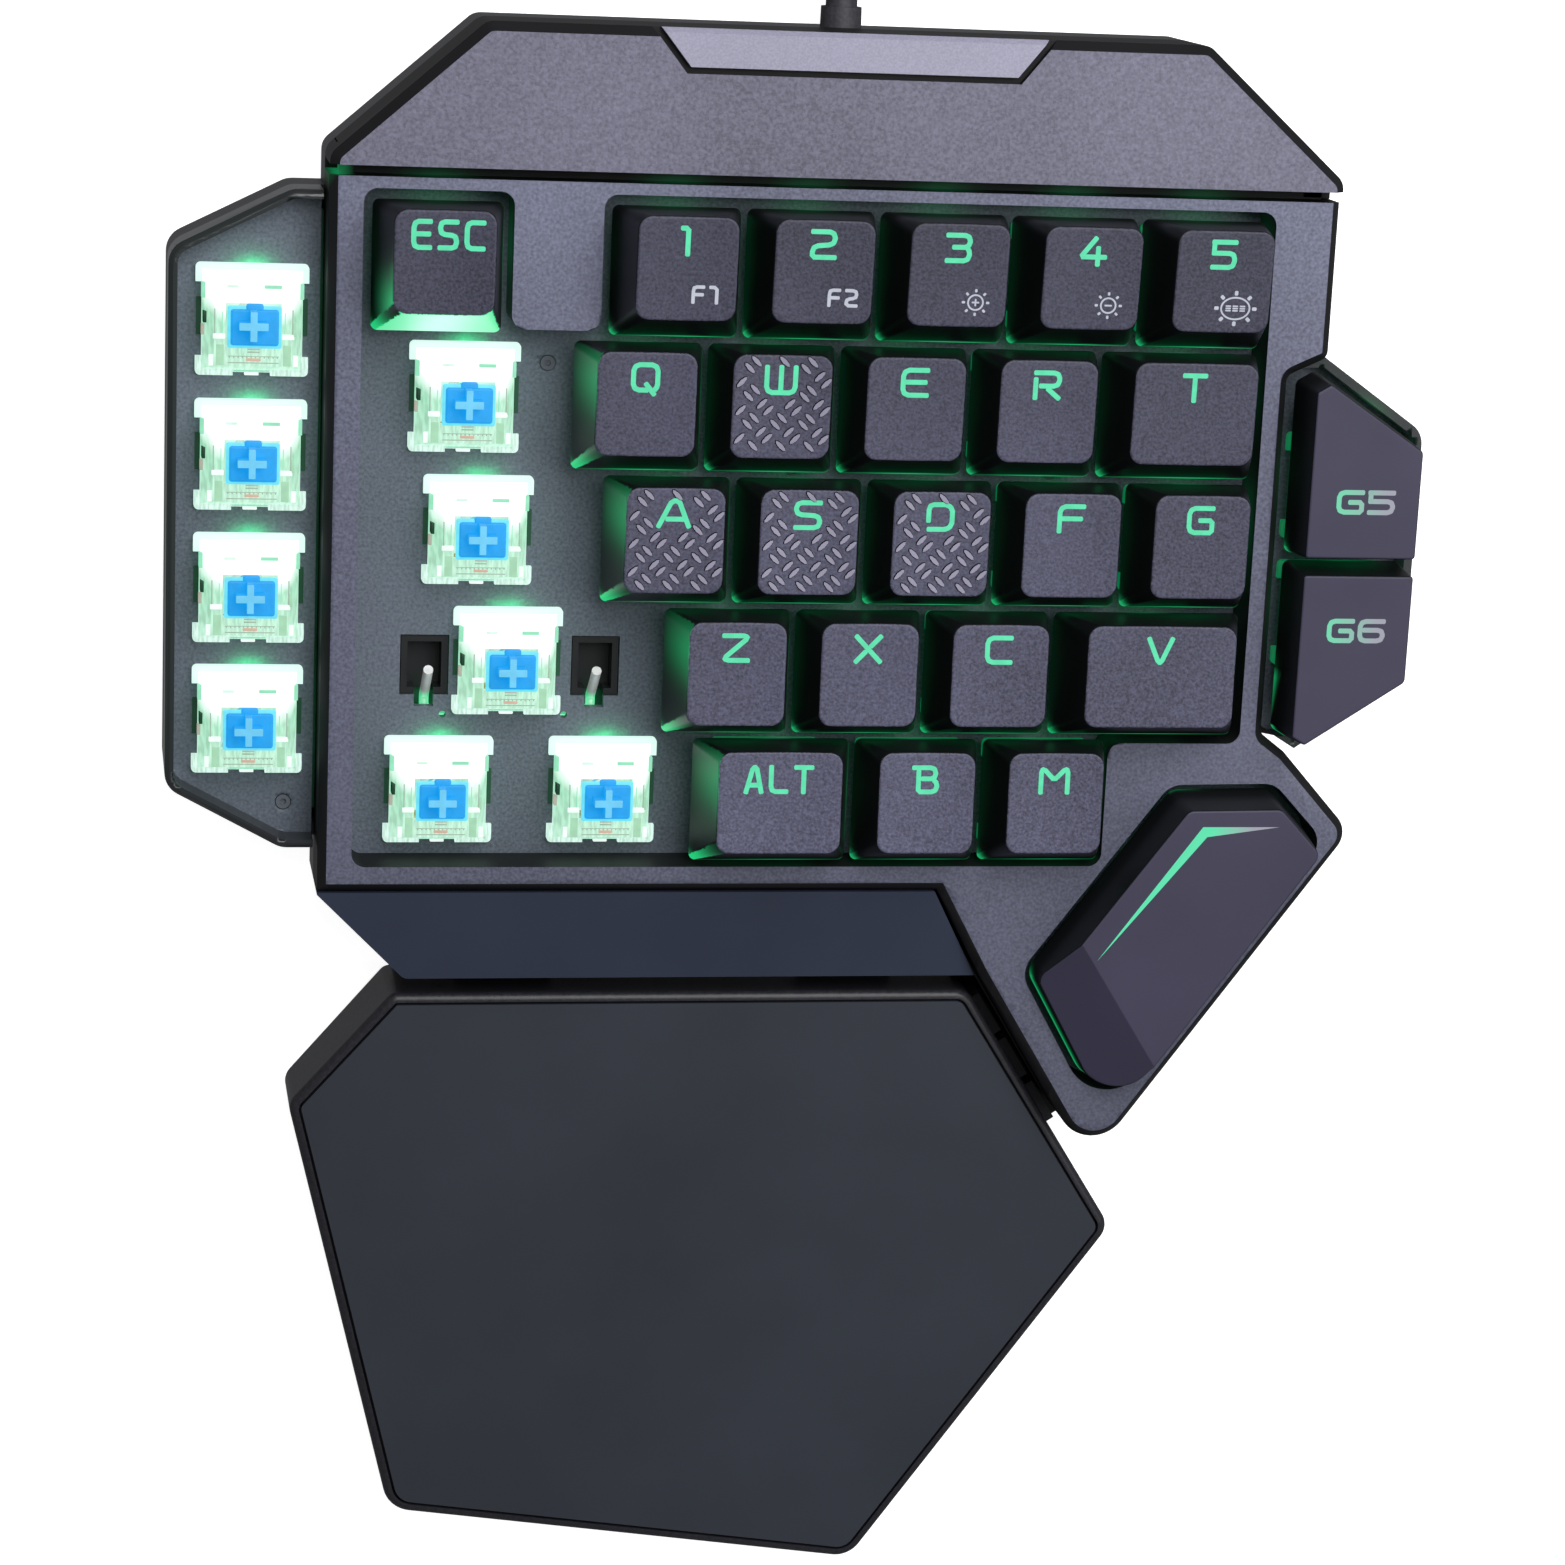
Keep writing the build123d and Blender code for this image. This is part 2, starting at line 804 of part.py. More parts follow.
def make_front_panel():
    """Smooth panel that slopes from the bezel down to the palm rest."""
    under = below_slope(panel_back, panel_back_height, panel_front, panel_front_height)
    inside = below_slope(
        panel_back, panel_back_height, panel_front, panel_front_height, panel_wall
    )
    panel = prism(panel_face, parting, bezel_height) & under
    panel -= prism(shrunk(panel_face, panel_wall), parting - overrun, bezel_height) & inside
    for x, y in bottom_screw_places[2:4]:
        panel += rod(boss_radius, parting, panel_front_height, x, y)
        panel -= rod(screw_radius, parting - overrun, parting + screw_bite, x, y)
    return panel


def make_left_pod_shell():
    """Shallow tray for the four macro switches."""
    shell = prism(left_pod_face, parting, pod_rim_height)
    top = shell.faces().sort_by(Axis.Z)[-1].edges()
    outer = top.filter_by(lambda edge: edge.center().X < pod_right - overrun)
    shell = chamfer(outer, pod_rim / 2)
    inner = shrunk(left_pod_face, pod_rim)
    open_side = Pos(pod_right, (left_pod_front + pod_back) / 2) * Rectangle(
        4 * pod_rim, left_pod_length - 2 * pod_rim
    )
    shell -= prism(inner + open_side, 0.0, pod_rim_height + overrun)
    shell -= prism(inner, parting - overrun, -deck_thickness)
    shell -= prism(switch_holes(pod_stem_names), -case_depth, overrun)
    return top_screw_holes(shell, left_pod_screw_places)


def make_right_pod_shell():
    """Shallow tray under the two macro keys."""
    shell = prism(right_pod_face, parting, pod_rim_height)
    inner = shrunk(right_pod_face, pod_rim)
    open_side = Pos(notch_x, right_pod_middle) * Rectangle(
        2 * right_pod_notch, 2 * (right_pod_half_length - pod_rim - pod_gap)
    )
    shell -= prism(inner + open_side, 0.0, pod_rim_height + overrun)
    shell -= prism(inner, parting - overrun, -deck_thickness)
    shell -= prism(switch_holes(right_pod_names), -case_depth, overrun)
    return top_screw_holes(shell, right_pod_screw_places)


def board_outline():
    inner = case_inside(case_wall + board_edge_gap)
    keep = Pos(0, field_depth / 2) * Rectangle(
        4 * field_width, field_depth + bezel_back_border
    )
    wing = grown(thumb_well_face, -board_edge_gap)
    return (inner & keep) + wing


def make_bottom_case():
    """Tray that carries the board, the posts and the feet."""
    case = prism(Sketch() + case_faces, case_bottom, parting)
    case -= prism(case_inside(case_wall), floor_top, parting + overrun)
    posts = []
    holes = []
    for x, y in top_screw_places:
        posts.append(rod(board_post_radius, floor_top, -deck_thickness, x, y))
        holes.append(rod(screw_radius, -deck_thickness - screw_bite, overrun, x, y))
    for x, y in bottom_screw_places:
        posts.append(rod(boss_radius, floor_top, parting, x, y))
        holes.append(rod(screw_radius + screw_clearance, case_bottom, parting + overrun, x, y))
        recess = case_bottom + screw_head_height + case_floor / 4
        holes.append(rod(screw_head_radius + screw_clearance, case_bottom - overrun, recess, x, y))
    for x, y in board_rest_places():
        posts.append(rod(board_post_radius, floor_top, board_bottom, x, y))
    case += posts
    case -= holes
    case -= gland_hole()
    case -= tongue_slots()
    return case


def board_rest_places():
    """Short posts that the board lies on."""
    places = [field_place(*shares) for shares in board_rest_shares]
    between_pod_rows = (pod_row_y(2) + pod_row_y(3)) / 2
    return places + [(left_pod_x, between_pod_rows)]


def make_circuit_board():
    """Board under all the switches, with the controller chip below it."""
    face = board_outline()
    holes = []
    for name in switch_places:
        holes.append(at_switch(name, Circle(peg_radius + pin_clearance)))
        for x, y in pin_places():
            holes.append(at_switch(name, Pos(x, y) * Circle(pin_radius + pin_clearance)))
    for x, y in top_screw_places:
        holes.append(Pos(x, y) * Circle(board_post_radius + step_clearance))
    face -= holes
    board = prism(face, board_bottom, board_top)
    chip = block(
        chip_width,
        chip_width,
        board_bottom - chip_height,
        board_bottom,
        *field_place(*chip_shares),
    )
    return [board, chip]


def pin_places():
    return ((3 * pin_grid, -2 * pin_grid), (-2 * pin_grid, -4 * pin_grid))


def make_lower_housing():
    """Lower half of a switch, from the board up to its flange."""
    floor = -switch_depth + switch_wall
    housing = block(switch_body, switch_body, -switch_depth, 0.0)
    flange = RectangleRounded(switch_flange, switch_flange, switch_flange_corner)
    housing += extrude(flange, switch_flange_height)
    for side in (-1, 1):
        housing -= block(
            switch_notch_depth * 2,
            switch_notch_length,
            0.0,
            switch_flange_height + overrun,
            side * switch_flange / 2,
        )
    housing -= block(
        switch_front_notch_length,
        switch_front_notch_depth * 2,
        0.0,
        switch_flange_height + overrun,
        0.0,
        -switch_flange / 2,
    )
    inner = switch_body - 2 * switch_wall
    housing -= block(inner, inner, floor, switch_flange_height + overrun)
    housing += rod(spring_radius - spring_wire - spring_clearance, floor, -switch_flange_height)
    housing += rod(peg_radius, -switch_depth - peg_length, floor)
    slot_width = light_width + 2 * light_slot_clearance
    slot_depth = light_depth + 2 * light_slot_clearance
    housing -= block(slot_width, slot_depth, -switch_depth - overrun, 0.0, 0.0, light_offset)
    for x, y in pin_places():
        housing -= rod(pin_radius + pin_clearance, -switch_depth - overrun, floor + overrun, x, y)
    return housing


def make_upper_housing():
    """Clear upper half of a switch, with the opening for the stem."""
    base = Pos(0, 0, switch_flange_height) * Rectangle(switch_body, switch_body)
    top = Pos(0, 0, switch_top_height) * Rectangle(switch_top_width, switch_top_depth)
    housing = loft([base, top])
    inner = switch_body - 2 * switch_wall
    inner_base = Pos(0, 0, switch_flange_height - overrun) * Rectangle(inner, inner)
    inner_top = Pos(0, 0, switch_top_height - switch_wall) * Rectangle(
        switch_top_width - 2 * switch_wall, switch_top_depth - 2 * switch_wall
    )
    housing -= loft([inner_base, inner_top])
    housing -= block(
        stem_length + 2 * stem_opening_clearance,
        stem_width + 2 * stem_opening_clearance,
        0.0,
        switch_top_height + overrun,
    )
    return housing


def cross(length, thickness, low, high):
    return block(length, thickness, low, high) + block(thickness, length, low, high)


stem_bottom = -switch_depth + switch_wall + key_travel + travel_clearance


def make_stem():
    """Sliding stem with its cross, hollow below for the spring."""
    stem = block(stem_length, stem_width, stem_bottom, stem_shoulder_height)
    stem += cross(cross_length, cross_thickness, stem_shoulder_height, stem_top_height)
    bore_top = stem_shoulder_height - switch_wall
    stem -= rod(spring_radius + spring_clearance, stem_bottom - overrun, bore_top)
    return stem


def make_spring():
    """Spring at its pressed length, as a thin sleeve."""
    low = -switch_depth + switch_wall
    high = stem_shoulder_height - switch_wall - key_travel - travel_clearance
    spring = rod(spring_radius, low, high)
    return spring - rod(spring_radius - spring_wire, low - overrun, high + overrun)


def make_contacts():
    """Two contact pins with their leaves."""
    floor = -switch_depth + switch_wall
    bottom = -switch_depth - pin_length
    (x1, y1), (x2, y2) = pin_places()
    leaf_x = x1 + pin_radius - leaf_thickness / 2
    leaf_y = y2
    first = rod(pin_radius, bottom, floor, x1, y1)
    first += block(leaf_thickness, leaf_width, floor, floor + leaf_height, leaf_x, y1)
    second = rod(pin_radius, bottom, floor, x2, y2)
    second += block(leaf_width, leaf_thickness, floor, floor + leaf_height, x2, leaf_y)
    return [first, second]


def make_light():
    low = -switch_depth
    return block(light_width, light_depth, low, low + light_height, 0.0, light_offset)


cap_rows = {
    1: (cap_height_row_1, cap_depth_row_1, cap_rise_row_1),
    2: (cap_height_row_2, cap_depth_row_2, cap_rise_row_2),
    3: (cap_height_row_3, cap_depth_row_3, cap_rise_row_3),
    4: (cap_height_row_4, cap_depth_row_4, cap_rise_row_4),
    5: (cap_height_row_5, cap_depth_row_5, cap_rise_row_5),
}


def add_boss(cap, roof):
    """Boss inside a cap, with the cross socket that grips the stem."""
    boss_bottom = stem_shoulder_height + cross_clearance
    cap += rod(cap_boss_radius, boss_bottom, roof)
    socket_length = cross_length + 2 * cross_clearance
    socket_thickness = cross_thickness + 2 * cross_clearance
    socket_top = stem_top_height + cross_clearance
    return cap - cross(socket_length, socket_thickness, boss_bottom - overrun, socket_top)


def make_cap(row, width_share):
    """Hollow keycap, whose front face slopes more than its back."""
    height, top_depth, rise = cap_rows[row]
    base_width = width_share * key_pitch - cap_gap
    base_depth = key_pitch - cap_gap
    taper = cap_side_taper + (width_share - 1) * key_pitch * cap_extra_taper_share
    top_width = base_width - taper
    top_y = base_depth / 2 - cap_back_inset - top_depth / 2
    tilt = math.degrees(math.atan2(rise, top_depth))
    base = Pos(0, 0, cap_skirt_height) * RectangleRounded(
        base_width, base_depth, cap_base_corner
    )
    top_place = Pos(0, top_y, height) * Rot(tilt, 0, 0)
    top = top_place * RectangleRounded(top_width, top_depth, cap_top_corner)
    cap = loft([base, top], ruled=True)
    dish_radius = (top_width**2 / 4 + cap_dish**2) / (2 * cap_dish)
    dish = Pos(0, 0, dish_radius - cap_dish) * Rot(90, 0, 0) * Cylinder(dish_radius, 3 * key_pitch)
    cap -= top_place * dish
    upper = cap.edges().filter_by(lambda edge: edge.center().Z > height - abs(rise) - cap_dish)
    cap = fillet(upper, cap_edge_round)
    inner_base = Pos(0, 0, cap_skirt_height) * RectangleRounded(
        base_width - 2 * cap_wall, base_depth - 2 * cap_wall, cap_base_corner / 2
    )
    inner_place = Pos(0, top_y, height - cap_roof - cap_dish) * Rot(tilt, 0, 0)
    inner_top = inner_place * RectangleRounded(
        top_width - 2 * cap_wall, top_depth - 2 * cap_wall, cap_top_corner / 2
    )
    cap -= loft([inner_base, inner_top], ruled=True)
    return add_boss(cap, height - cap_roof)


def macro_cap_outline(side):
    """Outline of a macro cap's top, above the middle line or mirrored below it."""
    left = notch_x + macro_cap_left_gap
    right = left + macro_cap_width
    near = macro_cap_gap / 2
    corners = [
        (left, near, macro_cap_corner / 2),
        (right, near, macro_cap_corner / 2),
        (right, macro_cap_outer_half_length, macro_cap_corner),
        (left + macro_cap_corner_cut, macro_cap_inner_half_length, macro_cap_corner / 2),
        (left, macro_cap_inner_half_length - macro_cap_corner_fall, macro_cap_corner / 2),
    ]
    placed = [(x, right_pod_middle + side * y, radius) for x, y, radius in corners]
    return outline(placed)


def drafted(face, low, high, draft):
    """Solid whose top is the face, widening downwards by the draft."""
    angle = math.degrees(math.atan2(draft, high - low))
    base = offset(face, draft, kind=Kind.ARC)
    return extrude(Pos(0, 0, low) * base, high - low, taper=angle)


def make_macro_cap(side):
    face = macro_cap_outline(side)
    cap = drafted(face, macro_cap_skirt, macro_cap_height, macro_cap_draft)
    roof = macro_cap_height - cap_roof
    top = cap.faces().sort_by(Axis.Z)[-1].edges()
    cap = fillet(top, cap_edge_round)
    cap -= drafted(shrunk(face, cap_wall), macro_cap_skirt - overrun, roof, macro_cap_draft)
    name = "macro_key_upper" if side > 0 else "macro_key_lower"
    x, y, turn = switch_places[name]
    boss = add_boss(rod(cap_boss_radius, roof - overrun, roof + overrun / 2), roof)
    return cap + Pos(x, y, 0) * boss


def make_thumb_cap():
    """Large thumb key whose lower end falls away in a facet."""
    cap = drafted(thumb_cap_face, macro_cap_skirt, thumb_cap_height, thumb_cap_draft)
    x1, y1, _ = wing_point(*thumb_facet_shares[:2])
    x2, y2, _ = wing_point(*thumb_facet_shares[2:])
    along = Vector(x2 - x1, y2 - y1).normalized()
    across = Vector(along.Y, -along.X)
    run = wing_length * thumb_facet_run_share
    down = (across * run - Vector(0, 0, thumb_facet_drop)).normalized()
    plane = Plane(origin=(x1, y1, thumb_cap_height), x_dir=along, z_dir=along.cross(down))
    if plane.z_dir.Z < 0:
        plane = -plane
    cut = plane * Pos(0, 0, wing_length / 2) * Box(2 * wing_length, 2 * wing_length, wing_length)
    cap -= cut
    rounded_above = thumb_cap_height - thumb_facet_drop * thumb_round_reach_share
    upper = cap.edges().filter_by(lambda edge: edge.center().Z > rounded_above)
    cap = fillet(upper, cap_edge_round)
    roof = thumb_cap_height - cap_roof
    inner = drafted(
        shrunk(thumb_cap_face, cap_wall), macro_cap_skirt - overrun, roof, thumb_cap_draft
    )
    lowered = plane.offset(-cap_roof)
    inner -= lowered * Pos(0, 0, wing_length / 2) * Box(
        2 * wing_length, 2 * wing_length, wing_length
    )
    cap -= inner
    x, y, turn = switch_places["thumb_key"]
    boss = add_boss(rod(cap_boss_radius, roof - overrun, roof + overrun / 2), roof)
    return cap + Pos(x, y, 0) * Rot(0, 0, turn) * boss


def make_stabiliser_housings():
    """Cups in the deck on both sides of the long key's switch."""
    width = stabiliser_width - step_clearance
    length = stabiliser_length - step_clearance
    cup = block(width, length, -switch_depth, -stabiliser_sink)
    cup -= block(
        width - 2 * stabiliser_wall,
        length - 2 * stabiliser_wall,
        -switch_depth + stabiliser_wall,
        overrun,
    )
    cup -= block(
        stabiliser_slot,
        stabiliser_wall * 3,
        -switch_depth + stabiliser_wall,
        overrun,
        0.0,
        -length / 2,
    )
    return [Pos(x, y, 0) * cup for x, y in stabiliser_places]


def tube(points, bends, radius):
    path = FilletPolyline(*points, radius=bends)
    profile = Plane(origin=path @ 0, z_dir=path % 0) * Circle(radius)
    return sweep(profile, path=path)


def make_stabiliser_wire():
    """Wire that runs in front of the switch, with an arm rising in each cup."""
    bar_y = stabiliser_middle[1] - switch_hole / 2 - stabiliser_wire_radius - stabiliser_bar_gap
    bar_z = -deck_thickness - stabiliser_wire_radius - stabiliser_bar_gap
    knee_y = stabiliser_front - stabiliser_notch + stabiliser_bend
    points = []
    left_x = stabiliser_x - stabiliser_arm_spread
    right_x = stabiliser_x + stabiliser_arm_spread
    top = (knee_y + stabiliser_arm_run, bar_z + stabiliser_arm_rise)
    points.append((left_x, top[0], top[1]))
    points.append((left_x, knee_y, bar_z))
    points.append((left_x, bar_y, bar_z))
    points.append((right_x, bar_y, bar_z))
    points.append((right_x, knee_y, bar_z))
    points.append((right_x, top[0], top[1]))
    return tube(points, stabiliser_bend, stabiliser_wire_radius)


def make_screw(head_top, direction, length, x, y):
    """Screw with its head at the given height and its shank up or down from it."""
    head_end = head_top + direction * screw_head_height
    tip = head_end + direction * length
    screw = rod(screw_head_radius, min(head_top, head_end), max(head_top, head_end), x, y)
    screw += rod(screw_radius - screw_clearance / 2, min(head_end, tip), max(head_end, tip), x, y)
    drive_end = head_top + direction * screw_drive_depth
    drive_start = head_top - direction * overrun
    low = min(drive_start, drive_end)
    high = max(drive_start, drive_end)
    return screw - rod(screw_drive_radius, low, high, x, y)


def make_screws():
    screws = []
    for x, y in top_screw_places:
        screws.append(make_screw(0.0, -1, screw_bite, x, y))
    for x, y in bottom_screw_places:
        head = case_bottom + case_floor / 4
        screws.append(make_screw(head, 1, parting - head + screw_bite / 2, x, y))
    return screws


cover_foot_y = cover_front + cover_depth * cover_foot_depth_share
body_foot_places = [(field_x(column), cover_foot_y) for column in cover_foot_column_shares] + [
    (field_x(panel_foot_column_share), panel_middle),
    wing_point(*wing_foot_shares)[:2],
    (left_pod_x, pod_row_y(2)),
    (macro_column, right_pod_middle),
]
palm_back = panel_front - palm_gap
palm_left = -palm_left_overhang


def palm_point(x_share, y_share):
    return (palm_left + x_share * palm_width, palm_back + y_share * palm_length)


palm_right = palm_left + palm_width
palm_wing_x = wing_corner_x - palm_wing_inset
palm_wing_run = palm_right - palm_wing_x
palm_wing_fall = palm_wing_run * palm_edge_slope_share * -wing_front_shares[1] / wing_front_shares[0]
palm_right_corner = palm_right_corner_share * palm_length
palm_corners = [
    (palm_wing_x, palm_back, palm_right_corner),
    (palm_right, palm_back - palm_wing_fall, palm_right_corner),
] + [(*palm_point(x, y), radius * palm_length) for x, y, radius in palm_outline_shares]
palm_face = outline(palm_corners)
palm_front = palm_back - palm_length
palm_foot_places = [palm_point(x, y) for x, y in palm_foot_shares]


def make_feet(places):
    return [rod(foot_radius, desk, case_bottom, x, y) for x, y in places]


def palm_slope(drop=0.0):
    return below_slope(palm_back, palm_back_height, palm_front, palm_front_height, drop)


def tongue_centres():
    back_left = palm_corners[-1][0]
    middle = (back_left + palm_wing_x) / 2
    spread = (palm_wing_x - back_left) * tongue_places_share
    return (middle - spread, middle + spread)


tongue_low = floor_top + tongue_lift
tongue_high = tongue_low + tongue_thickness


def tongue_slots():
    """Slots in the front wall of the tray for the palm rest's tongues."""
    slots = []
    for x in tongue_centres():
        slots.append(
            block(
                tongue_width + 2 * tongue_clearance,
                4 * case_wall,
                tongue_low - tongue_clearance,
                tongue_high + tongue_clearance,
                x,
                panel_front,
            )
        )
    return slots


def make_palm_base():
    """Palm rest body, with two tongues and a stepped ledge beside the thumb wing."""
    base = prism(palm_face, case_bottom, bezel_height) & palm_slope()
    top = base.faces().sort_by(Axis.Z)[-1].outer_wire().edges()
    base = fillet(top, palm_edge_round)
    pad_seat = shrunk(palm_face, palm_rim)
    base -= prism(pad_seat, case_bottom - overrun, bezel_height) - palm_slope(palm_pad_thickness)
    ceiling = palm_slope(palm_pad_thickness + palm_wall)
    base -= prism(shrunk(palm_face, palm_wall), case_bottom + palm_wall, bezel_height) & ceiling
    for x in tongue_centres():
        base += block(
            tongue_width,
            tongue_length + palm_wall,
            tongue_low,
            tongue_high,
            x,
            palm_back + (tongue_length - palm_wall) / 2,
        )
    return base + palm_ledge()


def palm_ledge():
    """Three low teeth in the gap between the palm rest and the thumb wing."""
    start = Vector(*palm_corners[0][:2])
    end = Vector(*palm_corners[1][:2])
    along = (end - start).normalized()
    outward = Vector(-along.Y, along.X)
    turn = math.degrees(math.atan2(along.Y, along.X))
    teeth = []
    for share in ledge_tooth_shares:
        middle = start + along * ((end - start).length * share)
        middle = middle + outward * (ledge_width / 2 - palm_wall / 4)
        tooth = Pos(middle.X, middle.Y, case_bottom + ledge_height / 2 + palm_wall) * Rot(0, 0, turn)
        teeth.append(tooth * Box(ledge_tooth, ledge_width + palm_wall / 2, ledge_height))
    return teeth


def make_palm_pad():
    """Smooth pad let into the palm rest, flush with its rim."""
    face = shrunk(palm_face, palm_rim + palm_pad_gap)
    return (prism(face, case_bottom, bezel_height) & palm_slope()) - palm_slope(palm_pad_thickness)


gland_z = -gland_drop
cord_floor = desk + cord_diameter / 2 + cord_lift


def gland_hole():
    hole = Cylinder(gland_radius + pin_clearance, 4 * case_wall)
    return Pos(gland_middle, cover_back, gland_z) * Rot(90, 0, 0) * hole


def make_gland():
    """Tapered strain relief, with an inner flange and shallow rings."""
    inner = cover_back - case_wall
    back = Plane(origin=(gland_middle, inner, gland_z), x_dir=(1, 0, 0), z_dir=(0, 1, 0))
    neck = extrude(back * Circle(gland_radius), case_wall)
    start = back.offset(case_wall) * Circle(gland_radius)
    tip = back.offset(case_wall + gland_length) * Circle(gland_tip_radius)
    gland = neck + loft([start, tip])
    flange = back.offset(-gland_flange_thickness) * Circle(gland_radius + gland_flange)
    gland += extrude(flange, gland_flange_thickness)
    pitch = gland_length / (gland_ring_count + 1)
    for index in range(gland_ring_count):
        place = back.offset(case_wall + pitch * (index + 1) - gland_ring_width / 2)
        ring = extrude(place * Circle(gland_radius * 2), gland_ring_width)
        inner_radius = gland_tip_radius - gland_ring_depth
        ring -= extrude(place * Circle(inner_radius), gland_ring_width)
        gland -= ring
    return gland


gland_tip = Vector(gland_middle, cover_back + gland_length, gland_z)
lead_drop = cord_floor - gland_z
lead_points = [
    gland_tip + Vector(side, along, share * lead_drop) for along, side, share in lead_route
]
coil_rise = (coil_layers - 1) * coil_spacing
tail_drop = desk + plug_height / 2 - cord_floor - coil_rise
tail_steps = [Vector(along, side, share * tail_drop) for along, side, share in tail_route]
coil_layer_turns = (coil_turns - (coil_layers - 1) * coil_climb_turns) / coil_layers
lead_long = (lead_points[-1] - lead_points[0]).length
coil_middle_radius = (cord_length - lead_long - tail_steps[-1].length) / (2 * math.pi * coil_turns)
coil_outer_radius = coil_middle_radius + coil_layer_turns * coil_spacing / 2
coil_inner_radius = coil_outer_radius - coil_layer_turns * coil_spacing
coil_centre = Vector(gland_middle + coil_outer_radius, lead_points[-1].Y, cord_floor)


def coil_place(turns):
    """Point of the coil after so many turns: in along one layer, up, and out along the next."""
    cycle = coil_layer_turns + coil_climb_turns
    layer = min(int(turns / cycle), coil_layers - 1)
    along = turns - layer * cycle
    inward = -1 if layer % 2 == 0 else 1
    start = coil_outer_radius if inward < 0 else coil_inner_radius
    if along <= coil_layer_turns:
        radius = start + inward * along * coil_spacing
        height = layer * coil_spacing
    else:
        share = (along - coil_layer_turns) / coil_climb_turns
        bulge = coil_spacing * coil_climb_turns * share * (1 - share)
        radius = start + inward * (coil_layer_turns * coil_spacing + bulge)
        height = (layer + share * share * (3 - 2 * share)) * coil_spacing
    angle = math.pi - 2 * math.pi * turns
    return coil_centre + Vector(radius * math.cos(angle), radius * math.sin(angle), height)


def coil_heading(turns):
    step = coil_piece_turns * coil_heading_share
    low = max(turns - step, 0.0)
    high = min(turns + step, coil_turns)
    return (coil_place(high) - coil_place(low)).normalized()


def biarc(start, start_way, end, end_way):
    """Two arcs that leave one point and reach another with the given headings."""
    chord = end - start
    both = chord.dot(start_way + end_way)
    spread = 2 * (1 - start_way.dot(end_way))
    reach = (-both + math.sqrt(both**2 + spread * chord.dot(chord))) / spread
    first = start + start_way * reach
    second = end - end_way * reach
    joint = (first + second) * 0.5
    joint_way = (second - first).normalized()
    return [
        Edge.make_tangent_arc(start, start_way, joint),
        Edge.make_tangent_arc(joint, joint_way, end),
    ]


def make_coil():
    """The put-away length of the cord, as one tube in layers of turns."""
    count = round(coil_turns / coil_piece_turns)
    marks = [coil_turns * index / count for index in range(count + 1)]
    places = [coil_place(mark) for mark in marks]
    ways = [coil_heading(mark) for mark in marks]
    ways[0] = Vector(0, 1, 0)
    ways[-1] = Vector(1, 0, 0)
    lead_in = places[0] - ways[0] * cord_diameter
    run_out = places[-1] + ways[-1] * cord_diameter
    edges = [Edge.make_line(lead_in, places[0])]
    for index in range(count):
        edges += biarc(places[index], ways[index], places[index + 1], ways[index + 1])
    edges.append(Edge.make_line(places[-1], run_out))
    path = Wire(edges)
    profile = Plane(origin=lead_in, z_dir=ways[0]) * Circle(cord_diameter / 2)
    print("coil: length", round(path.length, 1), "outer radius", round(coil_outer_radius, 2))
    print("coil: least gap to itself", round(coil_gap(path), 2))
    return sweep(profile, path=path)


def coil_gap(path):
    """Least distance between the surfaces of turns that lie beside or on each other."""
    count = coil_sample_count
    points = [path @ (index / count) for index in range(count + 1)]
    apart = math.ceil(count * cord_diameter * 4 / path.length)
    least = path.length
    for index, point in enumerate(points):
        for other in points[index + apart:]:
            least = min(least, (other - point).length)
    return least - cord_diameter


def cord_tube(points, label):
    """Tube along straight runs joined by arcs as large as the runs allow."""
    radii = []
    for before, corner, after in zip(points, points[1:], points[2:]):
        shorter = min((corner - before).length, (after - corner).length)
        turn = (corner - before).get_angle(after - corner)
        radii.append(cord_bend_share * shorter / math.tan(math.radians(turn) / 2))
    print(label, "bend radii", [round(radius, 1) for radius in radii])
    return tube(points, radii, cord_diameter / 2)


def make_cord_runs():
    lead = cord_tube(lead_points[:-1] + [lead_points[-1] - Vector(0, cord_diameter, 0)], "lead")
    coil_end = coil_place(coil_turns) + Vector(cord_diameter, 0, 0)
    tail_points = [coil_end + step for step in tail_steps]
    return [lead, cord_tube(tail_points, "tail")]


def make_plug():
    """USB plug on the desk beyond the coil: moulded grip, metal shell and its tongue."""
    start = coil_place(coil_turns) + Vector(cord_diameter, 0, 0) + tail_steps[-1]
    back = Plane(origin=start, x_dir=(0, 1, 0), z_dir=(1, 0, 0))
    relief = loft(
        [
            back * Circle(cord_diameter / 2 + spring_clearance),
            back.offset(plug_relief_length) * Circle(plug_relief_radius),
        ]
    )
    grip_face = back.offset(plug_relief_length) * RectangleRounded(
        plug_width, plug_height, plug_corner
    )
    grip = relief + extrude(grip_face, plug_length)
    seat = back.offset(plug_relief_length + plug_length - plug_shell_seat)
    shell_face = RectangleRounded(plug_shell_width, plug_shell_height, plug_shell_wall)
    bore_face = RectangleRounded(
        plug_shell_width - 2 * plug_shell_wall,
        plug_shell_height - 2 * plug_shell_wall,
        plug_shell_wall / 2,
    )
    reach = plug_shell_seat + plug_shell_length
    grip -= extrude(seat * shell_face, reach)
    shell = extrude(seat * (shell_face - bore_face), reach)
    tongue = seat * Pos(0, -plug_tongue_height / 3, 0) * Rectangle(
        plug_shell_width - 3 * plug_shell_wall, plug_tongue_height
    )
    return [grip, shell, extrude(tongue, reach - plug_shell_wall)]


